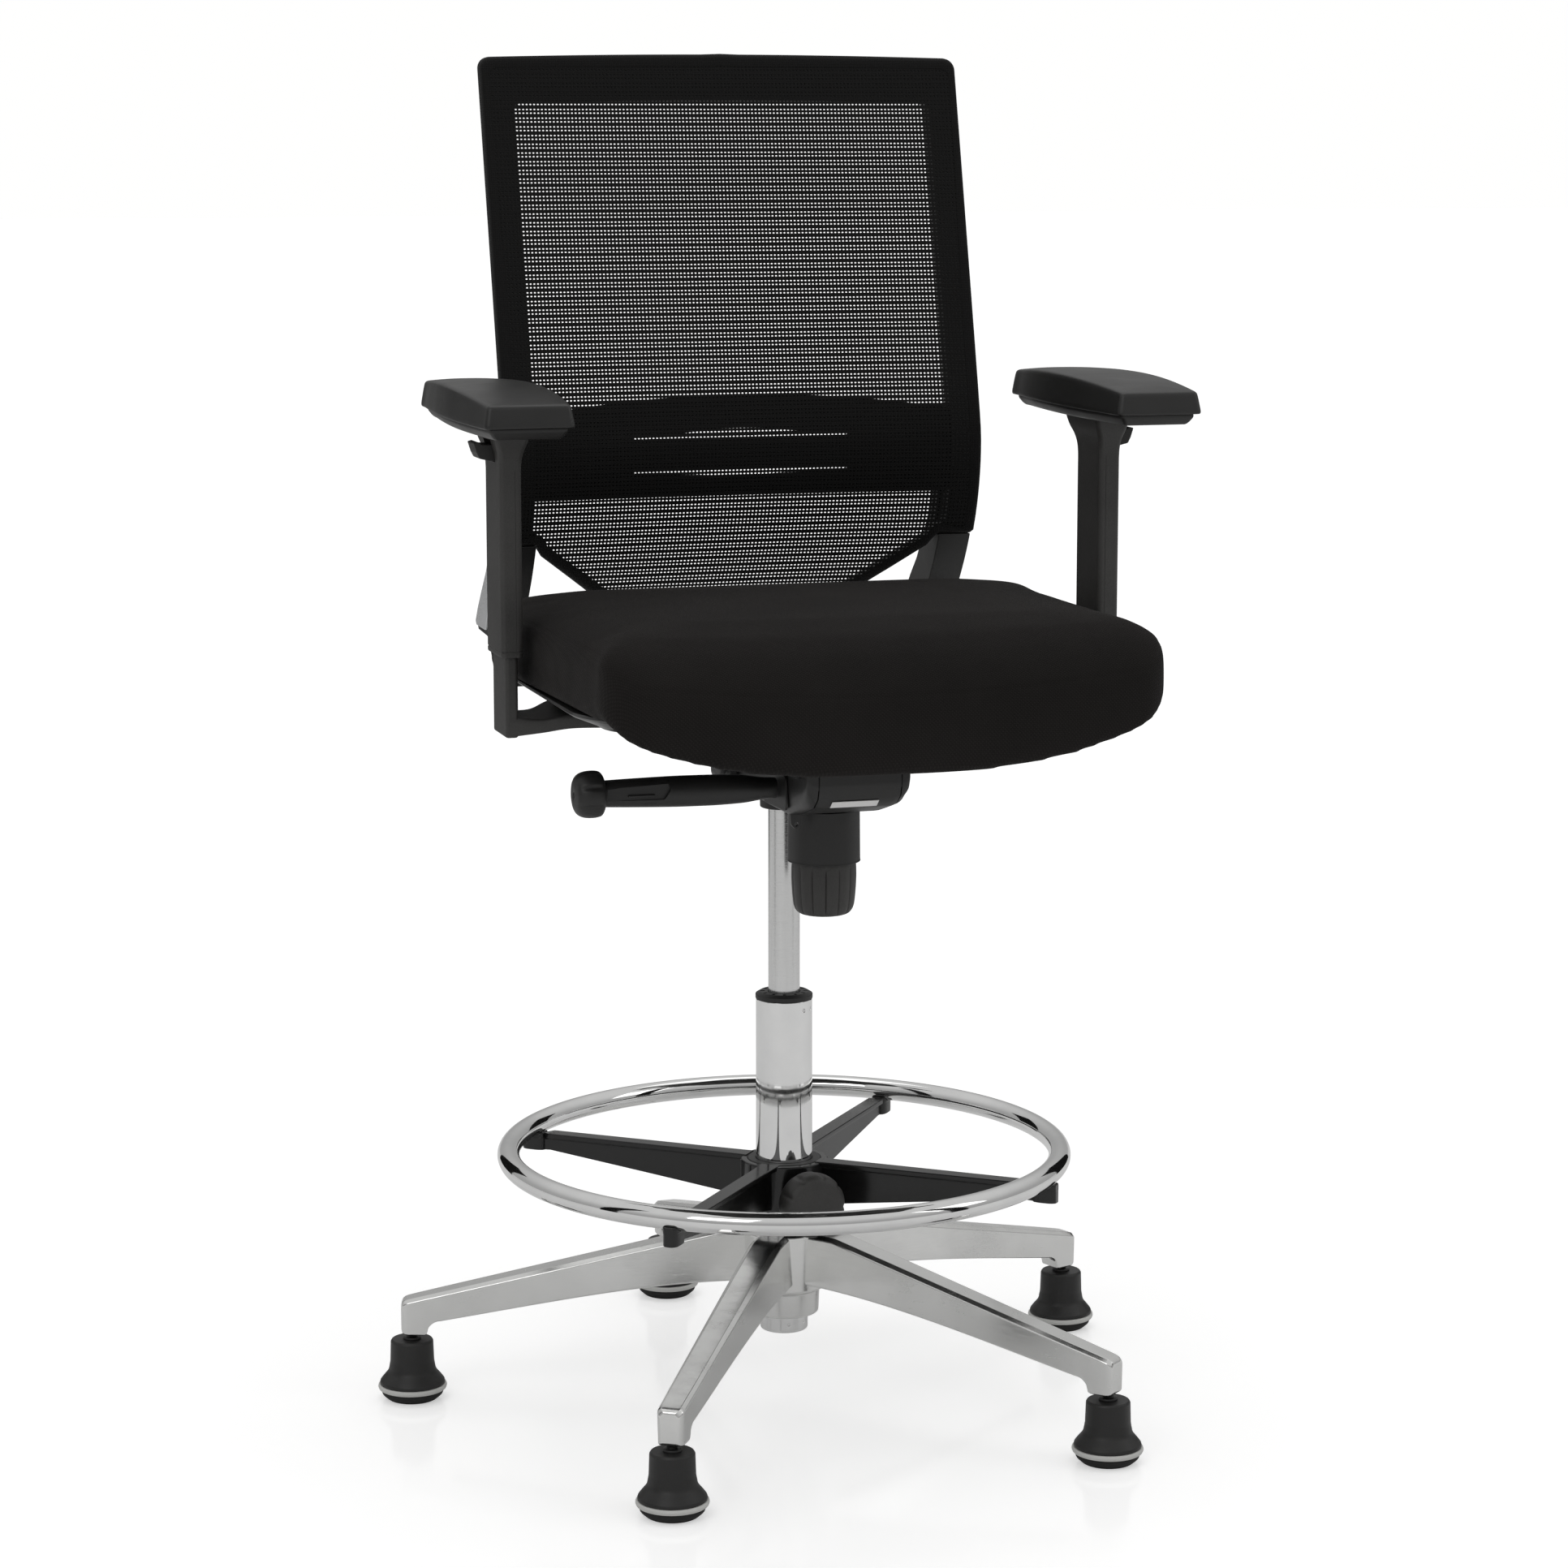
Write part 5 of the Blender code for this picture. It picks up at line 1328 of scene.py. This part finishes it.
def make_mesh_sheet():
    """The knitted mesh: one open layer, each cell with its own hole, and a hem rolled over the frame's edge."""
    outline = []
    for outer, inner in border_pairs():
        share = 0.0035 / math.hypot(inner[0] - outer[0], inner[1] - outer[1])
        outline.append((outer[0] + (inner[0] - outer[0]) * share, outer[1] + (inner[1] - outer[1]) * share))
    columns = int(BACK_W / CELL_W)
    xs = [CELL_W * i for i in range(-columns, columns + 1)]
    centres = []
    z = SHEET_LOW
    while z <= SHEET_TOP:
        centres.append(z)
        k = len(centres)
        z = SHEET_LOW + PAIR * (k // 2) + NEAR * (k % 2)
    bounds = [SHEET_LOW - (PAIR - NEAR) / 2]
    bounds += [(a + b) / 2 for a, b in zip(centres, centres[1:])]
    bounds.append(centres[-1] + 0.0018)

    index, points, faces = {}, [], []

    def add_point(x, z):
        points.append((x, back_surface(x, z) + SHEET_DEPTH, z))
        return len(points) - 1

    def corner(i, j):
        if (i, j) not in index:
            index[i, j] = add_point(xs[i], bounds[j])
        return index[i, j]

    for j, cz in enumerate(centres):
        for i in range(len(xs) - 1):
            cell = [(i, j), (i + 1, j), (i + 1, j + 1), (i, j + 1)]
            if not all(inside_outline(xs[u], bounds[v], outline) for u, v in cell):
                continue
            a, b, c, d = [corner(u, v) for u, v in cell]
            cx = (xs[i] + xs[i + 1]) / 2
            e = [add_point(cx + HOLE_HALF_W * u, cz + HOLE_HALF_H * v) for u, v in HOLE]
            faces += [
                (b, c, e[0]), (c, e[1], e[0]), (c, d, e[2], e[1]), (d, e[3], e[2]),
                (d, a, e[3]), (a, e[4], e[3]), (a, b, e[5], e[4]), (b, e[0], e[5]),
            ]
    sheet = from_lists("back_mesh_cloth", points, faces)
    sheet.data.shade_smooth()
    finish_piece(sheet, KNIT, "back", "black_mesh", "back_mesh")
    r, edge, rear = 0.0046, 0.0001, 0.0184
    layout = [(True, 0.011, 0.0004), (True, 0.008, 0.0), (True, 0.006, -0.00005)]
    layout += [(True, edge + r - r * s, r - r * c) for c, s in quarter(8)]
    layout.append((True, edge, 0.01))
    layout += [(True, edge + r - r * c, rear - r + r * s) for c, s in quarter(4)]
    layout.append((True, 0.009, rear))
    hem = band_loop("back_mesh_hem", layout)
    smooth(hem, 60, False)
    finish_piece(hem, KNIT, "back", "black_mesh")
    return sheet, hem


def make_lumbar():
    xs = sorted(set([round(0.1924 * (2 * i / 48 - 1), 5) for i in range(49)] + [-0.0995, 0.0995]))
    rows = [0.797, 0.804, 0.811, 0.8188, 0.8211, 0.829, 0.835, 0.842, 0.8503, 0.8524, 0.861, 0.867]
    points, faces, index = [], [], {}
    high = len(rows) + 4
    for j in range(high):
        for i, x in enumerate(xs):
            if j < len(rows):
                z = rows[j]
                # the slots' outer edges bow in the middle
                z += {3: -0.0042, 9: 0.006}.get(j, 0.0) * max(0.0, 1 - (x / 0.068) ** 2)
            else:
                share = (j - len(rows) + 1) / 4
                crest = 0.874 + 0.014 * (1 - min(1.0, abs(x) / 0.188) ** 2)
                z = rows[-1] + (crest - rows[-1]) * share
            index[(i, j)] = len(points)
            points.append((x, back_surface(x, z) + 0.0065, z))
    for j in range(high - 1):
        for i in range(len(xs) - 1):
            middle = (xs[i] + xs[i + 1]) / 2
            if j in (3, 8) and abs(middle) < 0.0995:
                continue
            faces.append((index[(i, j)], index[(i + 1, j)], index[(i + 1, j + 1)], index[(i, j + 1)]))
    panel = from_lists("lumbar_pad", points, faces)
    rearward = 1.0 if panel.data.polygons[0].normal.y > 0 else -1.0
    modify(panel, "SOLIDIFY", thickness=0.0058, offset=rearward)
    recalc(panel)
    bevel(panel, 0.0012, 3, 50)
    finish_piece(smooth(panel, 36), PLASTIC, "lumbar", "black_plastic", "lumbar_panel")


def make_uprights():
    for sign, name in SIDES:
        points = []
        for i in range(12):
            z = 0.86 - 0.1027 * i / 11
            points.append((back_surface(0.2, z) + 0.0195, z))
        for i in range(13):
            z = 0.7567 - 0.0567 * i / 12
            points.append((back_front(z) + 0.0035, z))
        lower = [
            (0.1785, 0.688), (0.1765, 0.67), (0.171, 0.652), (0.164, 0.6424), (0.164, 0.627),
            (0.178, 0.633), (0.19, 0.65), (0.207, 0.6685), (0.247, 0.6705), (0.252, 0.676),
            (0.24, 0.693), (0.222, 0.712), (0.204, 0.729), (0.166, 0.779), (0.148, 0.83), (0.145, 0.86),
        ]
        radii = [0.0] * len(points) + [
            0.01, 0.02, 0.02, 0.001, 0.002, 0.01, 0.012, 0.012,
            0.002, 0.003, 0.02, 0.02, 0.02, 0.03, 0.02, 0.0015,
        ]
        outline = fillet(points + lower, radii, 5)
        bar = slab("back_leg_" + name, outline, 0.0305, facing_x(sign * 0.20375), 0.003, 4)
        finish_piece(smooth(bar, 30), PLASTIC, "back", "black_plastic", "back_upright_" + name)

        strip = [
            (0.2485, 0.6785), (0.238, 0.692), (0.221, 0.7095), (0.202, 0.728), (0.165, 0.7765),
            (0.1465, 0.829), (0.1445, 0.856), (0.14, 0.854), (0.142, 0.825), (0.155, 0.774),
            (0.18, 0.72), (0.195, 0.695), (0.206, 0.6745), (0.244, 0.675),
        ]
        radii = [0.002, 0.02, 0.02, 0.02, 0.03, 0.02, 0.001, 0.001, 0.02, 0.03, 0.02, 0.02, 0.006, 0.002]
        outline = fillet(strip, radii, 5)
        obj = slab("back_trim_" + name, outline, 0.0022, facing_x(sign * 0.2204), 0.0006, 3)
        finish_piece(smooth(obj, 30), SILVER, "back", "silver_paint", "back_strip_" + name)


def make_yoke():
    rings = []
    for i in range(49):
        share = 2 * i / 48 - 1
        x, t = 0.188 * share, share ** 2
        y, z = 0.122 + 0.06 * t, 0.6 + 0.0345 * t
        half_y, half_z = 0.02 - 0.004 * t, 0.0085 - 0.001 * t
        plan = [(y + u * half_y, z + v * half_z) for u, v in ((-1, -1), (1, -1), (1, 1), (-1, 1))]
        rings.append([(x, a, b) for a, b in fillet(plan, 0.0036, 4)])
    yoke = loft("back_carrier", rings)
    for sign in (-1, 1):
        arm = [
            (-0.014, 0.564), (-0.006, 0.5595), (0.006, 0.5595), (0.1, 0.58), (0.138, 0.593),
            (0.138, 0.604), (0.105, 0.604), (0.085, 0.594), (0.006, 0.5865), (-0.006, 0.5865), (-0.014, 0.582),
        ]
        outline = fillet(arm, [0.006, 0.006, 0.01, 0.02, 0.004, 0.004, 0.01, 0.02, 0.01, 0.006, 0.006], 5)
        boolean(yoke, slab("ear", outline, 0.007, facing_x(sign * 0.05), 0.0008, 2), "UNION")
    boolean(yoke, pin("yoke_hole", (-0.08, 0, 0.575), (0.08, 0, 0.575), 0.0053, 0, 32))
    finish_piece(smooth(yoke, 30), STEEL, "back", "black_steel", "back_yoke")


# ---------------------------------------------------------------- floor and light

FLOOR_HALF = 40.0
FLOOR_GLOW, FAR_FLOOR_GLOW = 0.46, 0.58
GLOW_REACH, DULL_REACH = (0.5, 3.0), (0.45, 0.85)  # metres from the middle
WALL_LIGHT, CEILING_LIGHT = 0.37, 0.62


def make_floor():
    """A pale floor that glows white to the camera, and mirrors the chair's foot only where it is near."""
    corners = ((-1, -1), (1, -1), (1, 1), (-1, 1))
    floor = from_lists("floor", [(x * FLOOR_HALF, y * FLOOR_HALF, 0) for x, y in corners], [(0, 1, 2, 3)])
    s = Surface("studio_floor")
    s.color((0.9, 0.9, 0.9, 1.0))
    s.fixed(Specular_IOR_Level=0.3, Emission_Color=(1.0, 1.0, 1.0, 1.0))
    reach = s.add("ShaderNodeVectorMath", {0: s.coords}, operation="LENGTH").outputs["Value"]
    glow = s.span(reach, *GLOW_REACH, FLOOR_GLOW, FAR_FLOOR_GLOW)
    s.put(s.shader.inputs["Emission Strength"], s.times(s.camera_ray(), glow))
    s.rough(s.span(reach, *DULL_REACH, 0.12, 0.75))
    floor.data.materials.append(s.mat)


def make_world():
    """White behind the chair; for light and reflections, grey walls that brighten upwards."""
    world = bpy.data.worlds.new("studio")
    SCENE.world = world
    world.use_nodes = True
    n = Nodes(world.node_tree)
    n.tree.nodes.clear()
    split = n.add("ShaderNodeSeparateXYZ", {0: n.add("ShaderNodeTexCoord").outputs["Generated"]})
    rise = n.span(split.outputs["Z"], 0.1, 0.75, WALL_LIGHT, CEILING_LIGHT, interpolation_type="SMOOTHSTEP")
    pick = n.add("ShaderNodeMix", {"Factor": n.camera_ray(), "A": rise, "B": 1.0})
    values = {"Color": (1.0, 1.0, 0.995, 1.0), "Strength": pick.outputs["Result"]}
    n.add("ShaderNodeOutputWorld", {0: n.add("ShaderNodeBackground", values).outputs[0]})


def area_light(name, place, target, size, power):
    data = bpy.data.lights.new(name, "AREA")
    data.shape = "RECTANGLE"
    data.size = data.size_y = size
    data.energy = power
    obj = bpy.data.objects.new(name, data)
    obj.location = place
    direction = Vector(target) - Vector(place)
    obj.rotation_euler = direction.to_track_quat("-Z", "Y").to_euler()
    SCENE.collection.objects.link(obj)


def flag(name, azimuth, distance, width, high):
    """A dark studio flag that only shows in reflections. Azimuth is from the camera's side, in degrees."""
    out = ray(math.degrees(math.atan2(CAMERA.location.y, CAMERA.location.x)) + azimuth)
    side = Vector((-out.y, out.x, 0)) * width / 2
    left, right = out * distance - side, out * distance + side
    points = [left, right, right + UP * high, left + UP * high]
    obj = from_lists(name, points, [(0, 1, 2, 3)])
    s = Surface(name + "_cloth")
    s.color((0.012, 0.012, 0.012, 1.0))
    s.rough(0.9)
    s.fixed(Specular_IOR_Level=0.0)
    obj.data.materials.append(s.mat)
    obj.visible_camera = False
    obj.visible_diffuse = False
    obj.visible_shadow = False


def make_studio():
    make_floor()
    make_world()
    area_light("key", (-2.4, -2.6, 3.0), (0, 0, 0.6), 1.8, 15.0)
    area_light("fill", (2.6, -1.6, 2.2), (0, 0, 0.6), 1.5, 8.0)
    area_light("top", (0.2, 0.6, 3.4), (0, 0, 0.4), 2.2, 10.0)
    for sign, name in ((-1, "left"), (1, "right")):
        flag("flag_" + name, sign * 68.0, 2.4, 0.34, 2.6)
    for sign, name in ((-1, "left"), (1, "right")):
        flag("flag_rear_" + name, sign * 140.0, 2.6, 0.9, 1.4)


make_base()
make_glides()
make_column()
make_foot_ring()
make_mechanism()
make_lever()
make_seat()
make_arms()
make_back_frame()
SHEET, HEM = make_mesh_sheet()
make_lumbar()
make_uprights()
make_yoke()
make_studio()
